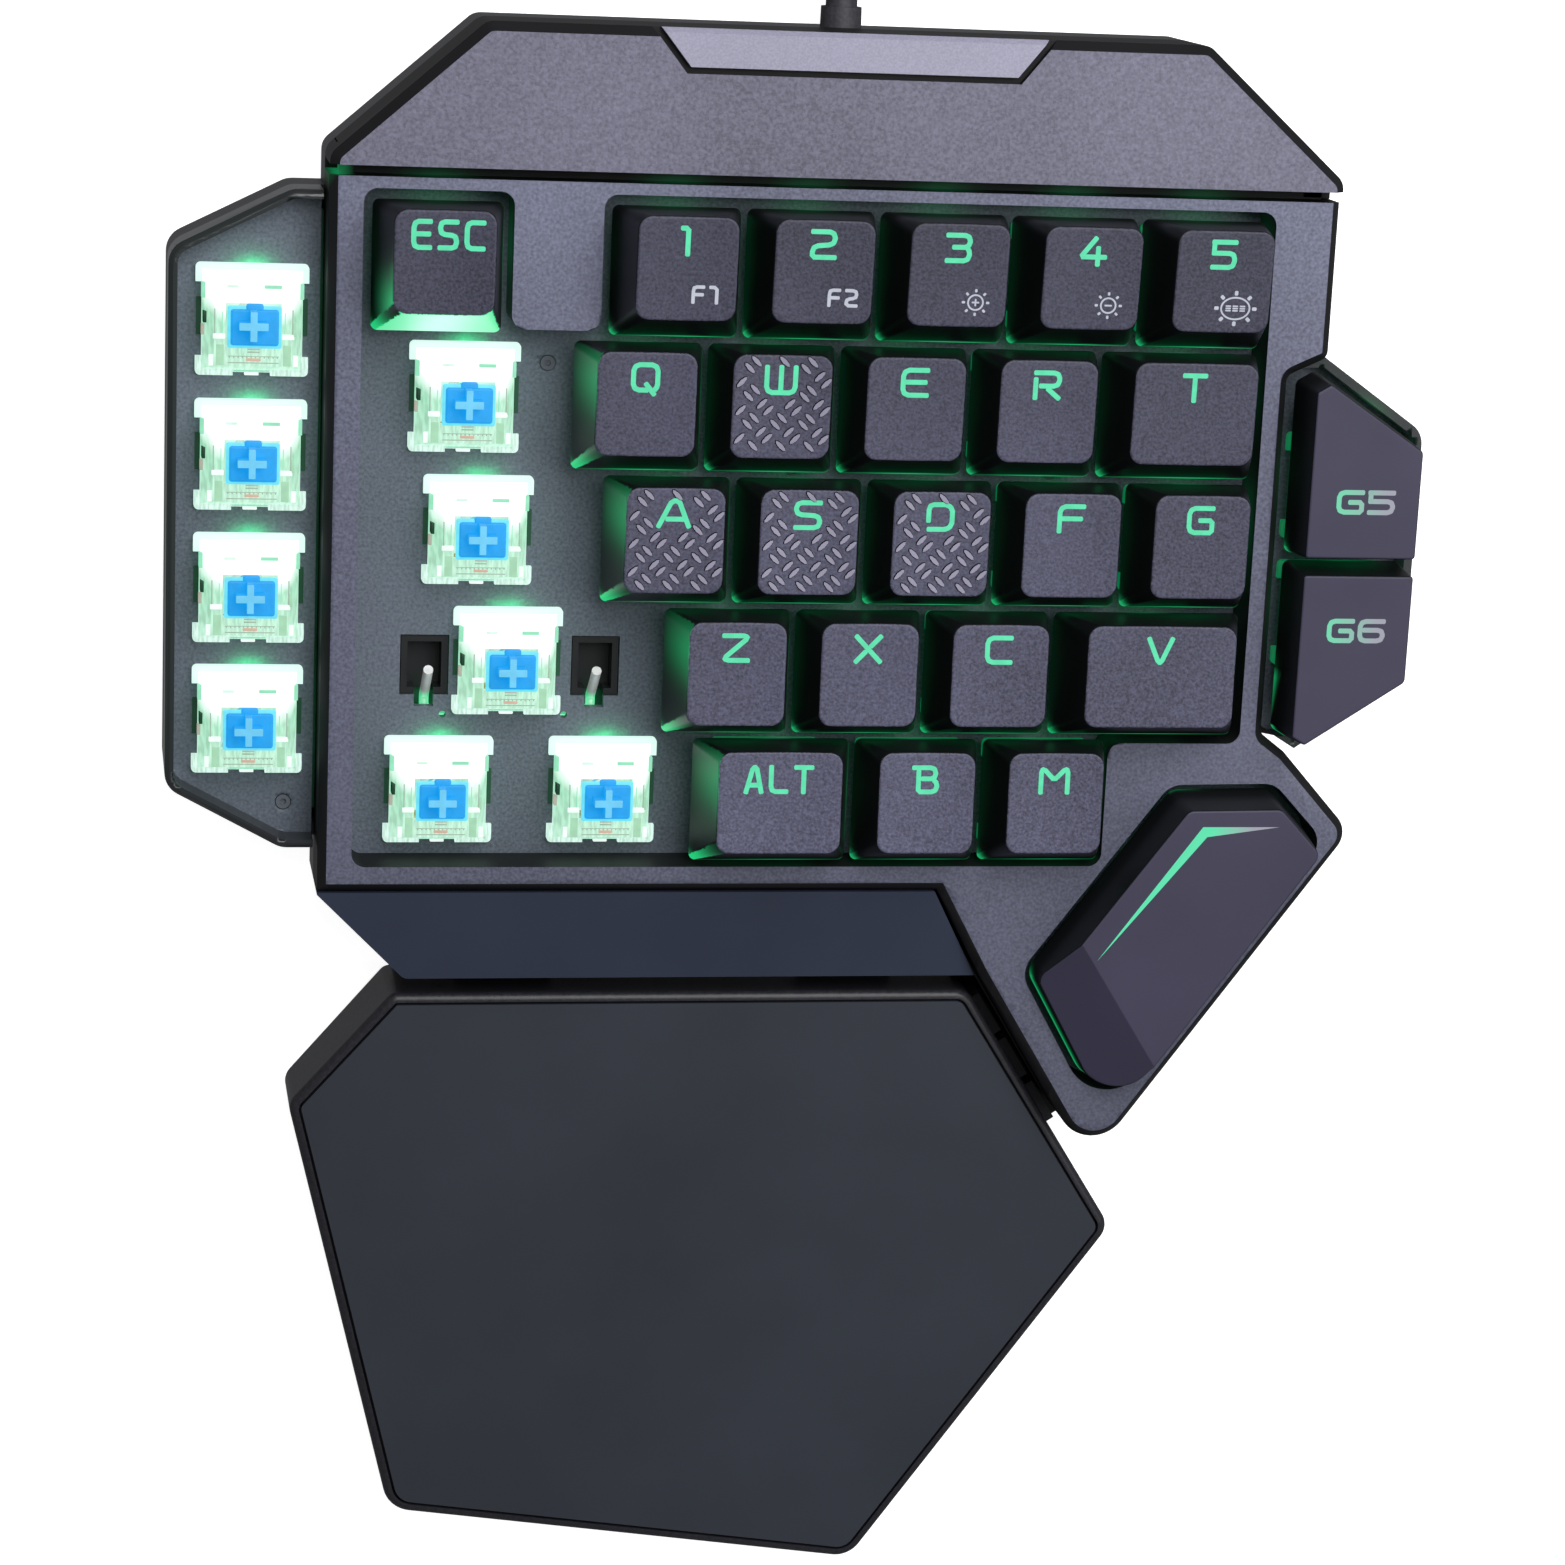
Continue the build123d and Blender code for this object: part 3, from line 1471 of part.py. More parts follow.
# Assembly
nodes = {}
stem = make_stem()
for name, row, centre_share, width_share in capped_key_shares:
    nodes[name] = [at_switch(name, make_cap(row, width_share)), at_switch(name, stem)]
nodes["macro_key_upper"] = [make_macro_cap(1), at_switch("macro_key_upper", stem)]
nodes["macro_key_lower"] = [make_macro_cap(-1), at_switch("macro_key_lower", stem)]
nodes["thumb_key"] = [make_thumb_cap(), at_switch("thumb_key", stem)]
for name in [name for name, row, share in bare_switch_shares] + list(pod_stem_names):
    nodes[name] = [at_switch(name, stem)]
lower_housing = make_lower_housing()
upper_housing = make_upper_housing()
spring = make_spring()
contacts = make_contacts()
light = make_light()
nodes["switch_lower_housings"] = [at_switch(name, lower_housing) for name in switch_places]
nodes["switch_upper_housings"] = [at_switch(name, upper_housing) for name in switch_places]
nodes["switch_springs"] = [at_switch(name, spring) for name in switch_places]
nodes["switch_contacts"] = [at_switch(name, pin) for name in switch_places for pin in contacts]
nodes["switch_lights"] = [at_switch(name, light) for name in switch_places]
nodes["top_case"] = [make_top_case()]
nodes["bottom_case"] = [make_bottom_case()]
nodes["rear_cover"] = [make_rear_cover()]
nodes["accent_plate"] = [make_accent_plate()]
nodes["front_panel"] = [make_front_panel()]
nodes["left_pod_shell"] = [make_left_pod_shell()]
nodes["right_pod_shell"] = [make_right_pod_shell()]
nodes["switch_deck"] = [make_switch_deck()]
nodes["circuit_board"] = make_circuit_board()
nodes["stabiliser_housings"] = make_stabiliser_housings()
nodes["stabiliser_wire"] = [make_stabiliser_wire()]
nodes["case_screws"] = make_screws()
nodes["rubber_feet"] = make_feet(body_foot_places)
nodes["palm_rest_base"] = [make_palm_base()]
nodes["palm_rest_pad"] = [make_palm_pad()]
nodes["palm_rest_feet"] = make_feet(palm_foot_places)
nodes["cord_gland"] = [make_gland()]
nodes["cord_run"] = make_cord_runs()
nodes["cord_coil"] = [make_coil()]
nodes["usb_plug"] = make_plug()

cord_nodes = ("cord_gland", "cord_run", "cord_coil", "usb_plug")
body_solids = [piece for name in nodes if name not in cord_nodes for piece in nodes[name]]
body_box = Compound(children=[Compound(piece.solids()) for piece in body_solids]).bounding_box()
origin = Vector(body_box.center().X, body_box.center().Y, desk)
print("origin in the key field's frame", [round(value, 4) for value in origin])
print("size without the cord", [round(value, 2) for value in body_box.size])

os.makedirs("parts", exist_ok=True)
for name, pieces in nodes.items():
    solids = [solid for piece in pieces for solid in piece.solids()]
    moved = [solid.moved(Location(-origin)) for solid in solids]
    shape = moved[0] if len(moved) == 1 else Compound(children=moved)
    export_step(shape, f"parts/{name}.step")
print("nodes", len(nodes))
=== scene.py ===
import math

import bmesh
import bpy
from mathutils import Matrix, Vector
from mathutils.bvhtree import BVHTree


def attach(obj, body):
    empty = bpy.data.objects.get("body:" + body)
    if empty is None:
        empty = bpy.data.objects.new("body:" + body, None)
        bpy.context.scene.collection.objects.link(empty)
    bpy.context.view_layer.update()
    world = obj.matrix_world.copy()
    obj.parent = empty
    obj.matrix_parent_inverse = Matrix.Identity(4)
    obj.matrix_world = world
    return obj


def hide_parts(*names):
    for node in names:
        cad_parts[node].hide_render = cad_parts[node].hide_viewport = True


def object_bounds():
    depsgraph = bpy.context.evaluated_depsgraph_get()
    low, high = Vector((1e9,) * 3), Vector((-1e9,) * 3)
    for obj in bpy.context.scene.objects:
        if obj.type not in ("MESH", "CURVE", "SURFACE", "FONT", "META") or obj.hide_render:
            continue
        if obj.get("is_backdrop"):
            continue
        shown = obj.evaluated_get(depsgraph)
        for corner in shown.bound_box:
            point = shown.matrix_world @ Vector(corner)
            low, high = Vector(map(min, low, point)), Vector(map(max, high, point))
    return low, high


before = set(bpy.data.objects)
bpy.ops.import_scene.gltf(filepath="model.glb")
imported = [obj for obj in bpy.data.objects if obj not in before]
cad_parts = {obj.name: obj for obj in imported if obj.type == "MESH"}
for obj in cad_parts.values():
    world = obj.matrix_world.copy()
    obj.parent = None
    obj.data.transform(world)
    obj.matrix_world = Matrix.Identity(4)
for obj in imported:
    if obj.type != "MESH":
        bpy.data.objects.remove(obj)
cad_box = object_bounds()

# Places are given in millimetres from the front left corner of the key field, with z up from the
# switch deck, and become metres in the model's own frame when a piece is finished.
MM = 0.001
DESK = -13.5
ORIGIN = Vector((63.6437, 2.4247, DESK))
PITCH = 19.05
ROWS = 5
# The large mouldings get painted light and shade, a change of brightness from the first of these places to
# the second
FRONT = (-35.0 - ORIGIN.y) * MM
BACK = (95.0 - ORIGIN.y) * MM


def placed(point):
    return (Vector(point) - ORIGIN) * MM


def row_y(row):
    return (ROWS - row + 0.5) * PITCH


# Camera
CAMERA_PLACE = (-40.57, 150.87, 569.22)
CAMERA_VIEW = Vector((0.17327, -0.23588, -0.95621))
CAMERA_UP = Vector((-0.00216, 0.97080, -0.23988))
LENS = 93.24
SENSOR = 36.0
NEAREST = 0.01

camera_data = bpy.data.cameras.new("camera")
camera_data.lens = LENS
camera_data.sensor_width = SENSOR
camera_data.clip_start = NEAREST
camera = bpy.data.objects.new("camera", camera_data)
bpy.context.scene.collection.objects.link(camera)
right_way = CAMERA_VIEW.cross(CAMERA_UP).normalized()
up_way = right_way.cross(CAMERA_VIEW).normalized()
turn = Matrix((right_way, up_way, -CAMERA_VIEW.normalized())).transposed()
camera.matrix_world = Matrix.Translation(placed(CAMERA_PLACE)) @ turn.to_4x4()
bpy.context.scene.camera = camera


# Cord, from the gland to the coil behind the keyboard and on to the plug
CORD = 4.5
CORD_LENGTH = 1600.0
GLAND_TIP = Vector((67.2, 141.6, -6.4))
CORD_LIFT = 0.1
CORD_FLOOR = DESK + CORD / 2 + CORD_LIFT
# Points as (along, aside, share of the drop): from the gland to the coil, and on to the plug
LEAD = (
    (0.0, 0.0, 0.0),
    (9.0, 0.0, 0.0),
    (19.5, 0.6, 0.66),
    (30.0, 0.0, 1.0),
    (39.4, 0.0, 1.0),
)
TAIL = (
    (0.0, 0.0, 0.0),
    (10.0, 0.0, 0.0),
    (22.0, 0.6, 0.36),
    (35.0, -0.4, 0.88),
    (46.0, 0.0, 1.0),
    (54.0, 0.0, 1.0),
)
TURNS = 9.25
LAYERS = 4
CLIMB = 0.5
SPACING = 5.1
POINTS_A_TURN = 16
PLUG_HEIGHT = 8.0

lead_drop = CORD_FLOOR - GLAND_TIP.z
lead = [GLAND_TIP + Vector((side, along, share * lead_drop)) for along, side, share in LEAD]
coil_rise = (LAYERS - 1) * SPACING
tail_drop = DESK + PLUG_HEIGHT / 2 - CORD_FLOOR - coil_rise
tail = [Vector((along, side, share * tail_drop)) for along, side, share in TAIL]
layer_turns = (TURNS - (LAYERS - 1) * CLIMB) / LAYERS
lead_long = (lead[-1] - lead[0]).length
middle_radius = (CORD_LENGTH - lead_long - tail[-1].length) / (2 * math.pi * TURNS)
outer_radius = middle_radius + layer_turns * SPACING / 2
inner_radius = outer_radius - layer_turns * SPACING
coil_centre = Vector((GLAND_TIP.x + outer_radius, lead[-1].y, CORD_FLOOR))
# The curve passes inside its points, so the points of the turns lie this much farther out
outward = 1 / (0.75 + 0.25 * math.cos(2 * math.pi / POINTS_A_TURN))


def coil_point(turns):
    """A point of the coil, so many turns from its start: each layer runs in or out, then climbs."""
    cycle = layer_turns + CLIMB
    layer = min(int(turns / cycle), LAYERS - 1)
    along = turns - layer * cycle
    inward = -1 if layer % 2 == 0 else 1
    start = outer_radius if inward < 0 else inner_radius
    if along <= layer_turns:
        radius = start + inward * along * SPACING
        height = layer * SPACING
    else:
        share = (along - layer_turns) / CLIMB
        bulge = SPACING * CLIMB * share * (1 - share)
        radius = start + inward * (layer_turns * SPACING + bulge)
        height = (layer + share * share * (3 - 2 * share)) * SPACING
    angle = math.pi - 2 * math.pi * turns
    radius *= outward
    return coil_centre + Vector((radius * math.cos(angle), radius * math.sin(angle), height))


route = lead[:-1]
route += [coil_point(index / POINTS_A_TURN) for index in range(round(TURNS * POINTS_A_TURN) + 1)]
tail_start = coil_centre + Vector((CORD, outer_radius, coil_rise))
route += [tail_start + step for step in tail[1:]]

cord_curve = bpy.data.curves.new("usb_cord", "CURVE")
cord_curve.dimensions = "3D"
spline = cord_curve.splines.new("NURBS")
spline.points.add(len(route) - 1)
# The points carry the cord's half thickness, which the bevel of one metre is scaled by
for point, where in zip(spline.points, route):
    point.co = (*placed(where), 1.0)
    point.radius = CORD * MM / 2
spline.order_u = 3
spline.use_endpoint_u = True
spline.resolution_u = 5
cord_curve.bevel_depth = 1.0
cord_curve.bevel_resolution = 5
cord_curve.use_fill_caps = True
cord = bpy.data.objects.new("usb_cord", cord_curve)
bpy.context.scene.collection.objects.link(cord)
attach(cord, "case")
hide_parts("cord_run", "cord_coil")
tuple(placed(GLAND_TIP))


# Shader maths
class Signal:
    """A shader socket that can be used in Python expressions."""

    def __init__(self, finish, socket):
        self.finish = finish
        self.socket = socket

    def math(self, operation, first, second=0.0):
        return self.finish.node("Math", {"operation": operation}, {0: first, 1: second})

    def __add__(self, other):
        return self.math("ADD", self, other)

    __radd__ = __add__

    def __sub__(self, other):
        return self.math("SUBTRACT", self, other)

    def __rsub__(self, other):
        return self.math("SUBTRACT", other, self)

    def __mul__(self, other):
        return self.math("MULTIPLY", self, other)

    __rmul__ = __mul__

    def between(self, low, high):
        """Zero at low, one at high, and straight in between."""
        return self.finish.node("MapRange", {}, {0: self, 1: low, 2: high})


class Finish:
    """A material: constants go on the shader, and what varies is fed to it."""

    def __init__(self, name, constants):
        self.material = bpy.data.materials.new(name)
        self.material.use_nodes = True
        self.tree = self.material.node_tree
        self.shader = self.tree.nodes["Principled BSDF"]
        for socket, value in constants.items():
            self.shader.inputs[socket].default_value = value

    def node(self, kind, settings=None, values=None, output=0):
        node = self.tree.nodes.new("ShaderNode" + kind)
        for name, value in (settings or {}).items():
            setattr(node, name, value)
        for name, value in (values or {}).items():
            self.join(node.inputs[name], value)
        return Signal(self, node.outputs[output])

    def join(self, socket, value):
        if isinstance(value, Signal):
            self.tree.links.new(value.socket, socket)
        else:
            socket.default_value = value

    def feed(self, name, value):
        self.join(self.shader.inputs[name], value)

    def place(self):
        return self.node("TexCoord", output="Object")

    def noise(self, scale, detail=2.0, vector=None):
        values = {"Vector": vector or self.place(), "Scale": scale, "Detail": detail}
        return self.node("TexNoise", {}, values, "Fac")

    def tint(self, factor, first, second):
        settings = {"data_type": "RGBA"}
        return self.node("Mix", settings, {0: factor, 6: first, 7: second}, 2)

    def relief(self, height, depth_mm, strength):
        values = {"Height": height, "Distance": depth_mm * MM, "Strength": strength}
        self.feed("Normal", self.node("Bump", {}, values))

    def lit(self, colour, attribute="glow"):
        """Light from the lamps, painted as far as the attribute says."""
        glow = self.node("Attribute", {"attribute_name": attribute}, output="Fac")
        strongest = self.tint(glow.between(0.78, 1.0), colour, PALE_MINT)
        self.feed("Emission Color", self.tint(glow, BLACK, strongest))


def grey(value):
    return (value, value, value, 1.0)


BLACK = (0.0, 0.0, 0.0, 1.0)
WHITE = (1.0, 1.0, 1.0, 1.0)
GREEN_LIGHT = (0.03, 1.0, 0.33, 1.0)
MINT = (0.13, 1.0, 0.55, 1.0)
PALE_GREY = (0.45, 0.47, 0.55, 1.0)
PALE_MINT = (0.50, 1.0, 0.78, 1.0)


def scaled(colour, factor):
    return tuple(part * factor for part in colour[:3]) + (1.0,)


def moulded(
    name, colour, roughness, grain_mm=0.45, depth_mm=0.05, strength=0.6, speck=0.42, front=1.0
):
    """Textured plastic: fine grain, small changes of shade and gloss, and painted light and shade that
    change its brightness towards the front.
    """
    finish = Finish(name, {"Emission Strength": 1.0, "Specular IOR Level": 0.35})
    grain = finish.noise(1000.0 / grain_mm, 3.0)
    patches = finish.noise(28.0, 2.0)
    shade = (grain.between(0.3, 0.7) * 0.75) + (patches.between(0.35, 0.65) * 0.25)
    low = scaled(colour, 1 - speck)
    high = scaled(colour, 1 + speck)
    # Painted light and shade: the colour is scaled by front at the front, and not at all at the back
    if front != 1.0:
        along = finish.node("SeparateXYZ", {}, {0: finish.place()}, "Y").between(FRONT, BACK)
        low = finish.tint(along, scaled(low, front), low)
        high = finish.tint(along, scaled(high, front), high)
    finish.feed("Base Color", finish.tint(shade, low, high))
    finish.feed("Roughness", (grain * 0.16) + (roughness - 0.08))
    finish.relief(grain, depth_mm, strength)
    finish.lit(GREEN_LIGHT)
    return finish.material


def smooth_plastic(name, colour, roughness, coat=0.0, shine=0.3):
    """Polished plastic with faint changes of shade and gloss."""
    constants = {
        "Emission Strength": 1.0,
        "Coat Weight": coat,
        "Coat Roughness": 0.15,
        "Specular IOR Level": shine,
    }
    finish = Finish(name, constants)
    drift = finish.noise(35.0, 3.0)
    fine = finish.noise(4200.0, 2.0)
    low = scaled(colour, 0.9)
    high = scaled(colour, 1.12)
    finish.feed("Base Color", finish.tint(drift.between(0.3, 0.7), low, high))
    finish.feed("Roughness", (drift * 0.1) + (roughness - 0.05))
    finish.relief(fine, 0.012, 0.25)
    finish.lit(GREEN_LIGHT)
    return finish.material


def metal(name, colour, roughness):
    """Drawn metal with fine streaks."""
    finish = Finish(name, {"Metallic": 1.0})
    streaks = finish.noise(900.0, 3.0)
    low = scaled(colour, 0.8)
    finish.feed("Base Color", finish.tint(streaks, low, colour))
    finish.feed("Roughness", (streaks * 0.2) + (roughness - 0.1))
    finish.relief(streaks, 0.01, 0.3)
    return finish.material


def glowing(name, colour, strength, base=BLACK):
    """Plastic that a lamp behind it fills with light."""
    finish = Finish(name, {"Roughness": 0.6, "Base Color": base, "Emission Strength": strength})
    patches = finish.noise(700.0, 2.0)
    low = scaled(colour, 0.88)
    finish.feed("Emission Color", finish.tint(patches.between(0.35, 0.65), low, colour))
    return finish.material


def half_lit_wire(name):
    """Steel wire, green in its lower part, where the lamps reach it."""
    finish = Finish(name, {"Metallic": 0.6, "Roughness": 0.35, "Emission Strength": 1.0})
    height = finish.node("SeparateXYZ", {}, {0: finish.place()}, "Z")
    lit = height.between((-DESK - 0.3) * MM, (-DESK - 2.2) * MM)
    finish.feed("Emission Color", finish.tint(lit, grey(0.10), (0.04, 0.62, 0.24, 1.0)))
    finish.feed("Base Color", finish.tint(finish.noise(900.0), grey(0.4), grey(0.7)))
    return finish.material


# The front factors paint shade on the case and the deck, darker towards the front, and light on the caps,
# brighter towards the front
case_finish = moulded("case_plastic", (0.118, 0.124, 0.182, 1.0), 0.5, front=0.58)
cover_finish = moulded("cover_plastic", (0.112, 0.110, 0.156, 1.0), 0.45)
deck_finish = moulded("deck_paint", (0.098, 0.113, 0.146, 1.0), 0.55, front=0.72)
cap_finish = moulded("keycap_plastic", (0.036, 0.036, 0.059, 1.0), 0.55, 0.4, 0.06, 0.8, 0.62, 2.5)
# Sides of the caps: smooth plastic, far darker than the tops, a painted shade
shaded_cap_side_finish = smooth_plastic("keycap_side_painted_shade", (0.006, 0.007, 0.008, 1.0), 0.4)
# Near black for the walls, chamfers and dark fillers of the case: a painted shade
shaded_edge_finish = smooth_plastic("edge_painted_shade", (0.010, 0.010, 0.011, 1.0), 0.5, 0.0, 0.12)
# Tread bars: smooth plastic, lighter than the caps as a painted highlight
tread_highlight_finish = smooth_plastic("tread_painted_highlight", (0.240, 0.228, 0.300, 1.0), 0.35)
rim_finish = smooth_plastic("pod_rim_plastic", (0.016, 0.017, 0.020, 1.0), 0.3, 0.3)
accent_finish = moulded("accent_plate", (0.262, 0.256, 0.335, 1.0), 0.35, 0.3, 0.02, 0.3, 0.16)
panel_finish = smooth_plastic("front_panel_plastic", (0.023, 0.029, 0.050, 1.0), 0.42)
pad_finish = smooth_plastic("palm_pad_plastic", (0.024, 0.028, 0.038, 1.0), 0.55)
palm_finish = moulded("palm_body_plastic", (0.014, 0.014, 0.018, 1.0), 0.4)
macro_finish = smooth_plastic("macro_cap_plastic", (0.037, 0.034, 0.062, 1.0), 0.5)
screw_finish = smooth_plastic("screw_lacquer", (0.085, 0.095, 0.115, 1.0), 0.35)
steel_finish = metal("spring_steel", (0.72, 0.74, 0.75, 1.0), 0.28)
brass_finish = metal("contact_brass", (0.85, 0.62, 0.30, 1.0), 0.35)
rubber_finish = moulded("foot_rubber", (0.018, 0.018, 0.020, 1.0), 0.8, 0.5)
board_finish = smooth_plastic("board_lacquer", (0.015, 0.09, 0.045, 1.0), 0.35, 0.3)
cup_finish = smooth_plastic("stabiliser_plastic", (0.010, 0.011, 0.012, 1.0), 0.4)
plug_finish = smooth_plastic("plug_plastic", (0.020, 0.020, 0.022, 1.0), 0.35)
stem_finish = smooth_plastic("stem_plastic", (0.02, 0.22, 0.72, 1.0), 0.3, 0.3)
cord_finish = moulded("cord_jacket", (0.035, 0.033, 0.040, 1.0), 0.55, 0.5, 0.03, 0.4)
cord_curve.materials.append(cord_finish)
lamp_finish = glowing("lamp_lens", (0.25, 1.0, 0.5, 1.0), 1.5, WHITE)
mint_finish = glowing("legend_mint", MINT, 0.80)
grey_legend_finish = glowing("legend_grey", PALE_GREY, 1.2)
dark_finish = smooth_plastic("window_shadow", (0.01, 0.06, 0.03, 1.0), 0.5)
beige_finish = glowing("leaf_beige", (0.42, 0.42, 0.34, 1.0), 0.9, (0.1, 0.1, 0.1, 1.0))
rust_finish = glowing("leaf_copper", (0.75, 0.42, 0.28, 1.0), 0.8, (0.1, 0.1, 0.1, 1.0))
rib_finish = glowing("rib_grey", (0.34, 0.50, 0.38, 1.0), 0.9, (0.05, 0.05, 0.05, 1.0))
bar_finish = glowing("bar_green", (0.40, 0.78, 0.50, 1.0), 0.85, (0.05, 0.05, 0.05, 1.0))
lit_finish = glowing("bright_plastic", (0.86, 1.0, 0.93, 1.0), 1.0, (0.1, 0.1, 0.1, 1.0))
wire_finish = half_lit_wire("stabiliser_steel")
haze_finish = glowing("pale_haze", (0.70, 0.95, 0.82, 1.0), 1.0, (0.05, 0.05, 0.05, 1.0))
shade_finish = glowing("green_shade", (0.30, 0.86, 0.55, 1.0), 0.9, (0.05, 0.05, 0.05, 1.0))


# Making of meshes
MERGE = 0.002


def new_piece(name, bm, finishes, body, angle=35.0):
    """Turn a mesh in millimetres into a finished piece that rides on a body."""
    bmesh.ops.recalc_face_normals(bm, faces=bm.faces)
    return finish_piece(name, bm, finishes, body, angle)


def finish_piece(name, bm, finishes, body, angle=35.0):
    """The same for a mesh whose faces already point the right way."""
    bmesh.ops.translate(bm, vec=-ORIGIN, verts=bm.verts)
    bmesh.ops.scale(bm, vec=(MM, MM, MM), verts=bm.verts)
    mesh = bpy.data.meshes.new(name)
    bm.to_mesh(mesh)
    bm.free()
    for finish in finishes:
        mesh.materials.append(finish)
    mesh.shade_smooth()
    mesh.set_sharp_from_angle(angle=math.radians(angle))
    piece = bpy.data.objects.new(name, mesh)
    bpy.context.scene.collection.objects.link(piece)
    even = piece.modifiers.new("even_normals", "WEIGHTED_NORMAL")
    even.keep_sharp = True
    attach(piece, body)
    return piece


def node_mesh(name):
    """A merged copy of a node's mesh, in millimetres."""
    bm = bmesh.new()
    bm.from_mesh(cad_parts[name].data)
    bmesh.ops.scale(bm, vec=(1 / MM, 1 / MM, 1 / MM), verts=bm.verts)
    bmesh.ops.translate(bm, vec=ORIGIN, verts=bm.verts)
    bmesh.ops.remove_doubles(bm, verts=bm.verts, dist=MERGE)
    bmesh.ops.dissolve_degenerate(bm, dist=MERGE, edges=bm.edges)
    return bm


def add_box(bm, size, centre, finish=0, bevel=0.0):
    """A box with rounded edges; gives its faces."""
    before = set(bm.faces)
    corners = bmesh.ops.create_cube(bm, size=1.0)["verts"]
    bmesh.ops.scale(bm, vec=size, verts=corners)
    if bevel:
        bmesh.ops.bevel(
            bm,
            geom=[edge for edge in bm.edges if edge.verts[0] in corners],
            offset=bevel,
            offset_type="OFFSET",
            affect="EDGES",
            segments=2,
            profile=0.5,
            material=-1,
        )
    faces = [face for face in bm.faces if face not in before]
    verts = list({vert for face in faces for vert in face.verts})
    bmesh.ops.translate(bm, vec=centre, verts=verts)
    for face in faces:
        face.material_index = finish
    return faces


def islands(bm):
    """Groups of faces that hang together."""
    left = set(bm.faces)
    groups = []
    for start in bm.faces:
        if start not in left:
            continue
        left.discard(start)
        group = {start}
        to_visit = [start]
        while to_visit:
            face = to_visit.pop()
            for edge in face.edges:
                for other in edge.link_faces:
                    if other in left:
                        left.discard(other)
                        group.add(other)
                        to_visit.append(other)
        groups.append(group)
    return groups


def cut_planes(bm, axis, places):
    """Cut the whole mesh at places along an axis, so that painted light has points to sit on."""
    normal = Vector((0, 0, 0))
    normal[axis] = 1.0
    for place in places:
        point = normal * place
        everything = list(bm.verts) + list(bm.edges) + list(bm.faces)
        bmesh.ops.bisect_plane(bm, geom=everything, dist=1e-4, plane_co=point, plane_no=normal)


def paint(bm, glow):
    """Keep at every vertex how strongly it is lit."""
    layer = bm.verts.layers.float.new("glow")
    for vert in bm.verts:
        vert[layer] = glow(vert.co)


# Keys with caps: name, row, middle in key widths, width in key widths, main sign, lesser sign
CAPPED = (
    ("key_escape", 1, 0.5, 1.0, "ESC", None),
    ("key_1", 1, 2.25, 1.0, "1", "F1"),
    ("key_2", 1, 3.25, 1.0, "2", "F2"),
    ("key_3", 1, 4.25, 1.0, "3", "sun_plus"),
    ("key_4", 1, 5.25, 1.0, "4", "sun_minus"),
    ("key_5", 1, 6.25, 1.0, "5", "sun_wide"),
    ("key_q", 2, 2.0, 1.0, "Q", None),
    ("key_w", 2, 3.0, 1.0, "W", None),
    ("key_e", 2, 4.0, 1.0, "E", None),
    ("key_r", 2, 5.0, 1.0, "R", None),
    ("key_t", 2, 6.125, 1.25, "T", None),
    ("key_a", 3, 2.25, 1.0, "A", None),
    ("key_s", 3, 3.25, 1.0, "S", None),
    ("key_d", 3, 4.25, 1.0, "D", None),
    ("key_f", 3, 5.25, 1.0, "F", None),
    ("key_g", 3, 6.25, 1.0, "G", None),
    ("key_z", 4, 2.75, 1.0, "Z", None),
    ("key_x", 4, 3.75, 1.0, "X", None),
    ("key_c", 4, 4.75, 1.0, "C", None),
    ("key_v", 4, 6.0, 1.5, "V", None),
    ("key_alt", 5, 3.125, 1.25, "ALT", None),
    ("key_b", 5, 4.25, 1.0, "B", None),
    ("key_m", 5, 5.25, 1.0, "M", None),
)
# Stems without caps, with their places
POD_X = -0.82 * PITCH
POD_SHIFT = 8.75
BARE = (
    ("stem_tab", 0.75 * PITCH, row_y(2)),
    ("stem_caps", 0.875 * PITCH, row_y(3)),
    ("stem_shift", 1.125 * PITCH, row_y(4)),
    ("stem_control", 0.625 * PITCH, row_y(5)),
    ("stem_start", 1.875 * PITCH, row_y(5)),
    ("stem_macro_1", POD_X, row_y(1) - POD_SHIFT),
    ("stem_macro_2", POD_X, row_y(2) - POD_SHIFT),
    ("stem_macro_3", POD_X, row_y(3) - POD_SHIFT),
    ("stem_macro_4", POD_X, row_y(4) - POD_SHIFT),
)
MACRO = (
    ("macro_key_upper", 143.2, 46.35 + PITCH / 2),
    ("macro_key_lower", 143.2, 46.35 - PITCH / 2),
)
# Place of the thumb key's switch, and its turn in degrees
THUMB = (92.3 + 0.515 * 55.0, -17.2 + 0.155 * 55.0, -35.5)
# By row: the back edge of a cap's top behind the switch, and the depth of that top
BACK_EDGE = {1: 9.3, 2: 9.15, 3: 9.1, 4: 9.05, 5: 8.75}
TOP_DEPTH = {1: 14.4, 2: 14.6, 3: 15.0, 4: 14.85, 5: 14.75}
# Which side of a row's first cap the lamp beside it lights
SIDE_LIGHT = {
    "key_escape": "front",
    "key_q": "back",
    "key_a": "back",
    "key_z": "back",
    "key_alt": "back",
}
CAP_FLOOR = 6.2
TOP_SLOPE = 0.72

covered_places = [(share * PITCH, row_y(row), 0.0) for _, row, share, *_ in CAPPED]
covered_places += [(x, y, 0.0) for _, x, y in MACRO]
covered_places.append(THUMB)
bare_places = [(x, y, 0.0) for _, x, y in BARE]
switch_places = covered_places + bare_places


def bell(distance, width):
    """One in the middle, fading to nothing on both sides."""
    return math.exp(-((distance / width) ** 2))


def near(point, x, y, reach):
    """Whether a point is close enough to a switch to be lit by its lamp."""
    return abs(point.x - x) < reach and abs(point.y - y) < reach


WALL_TOP = 7.9
POD_TOP = 7.5


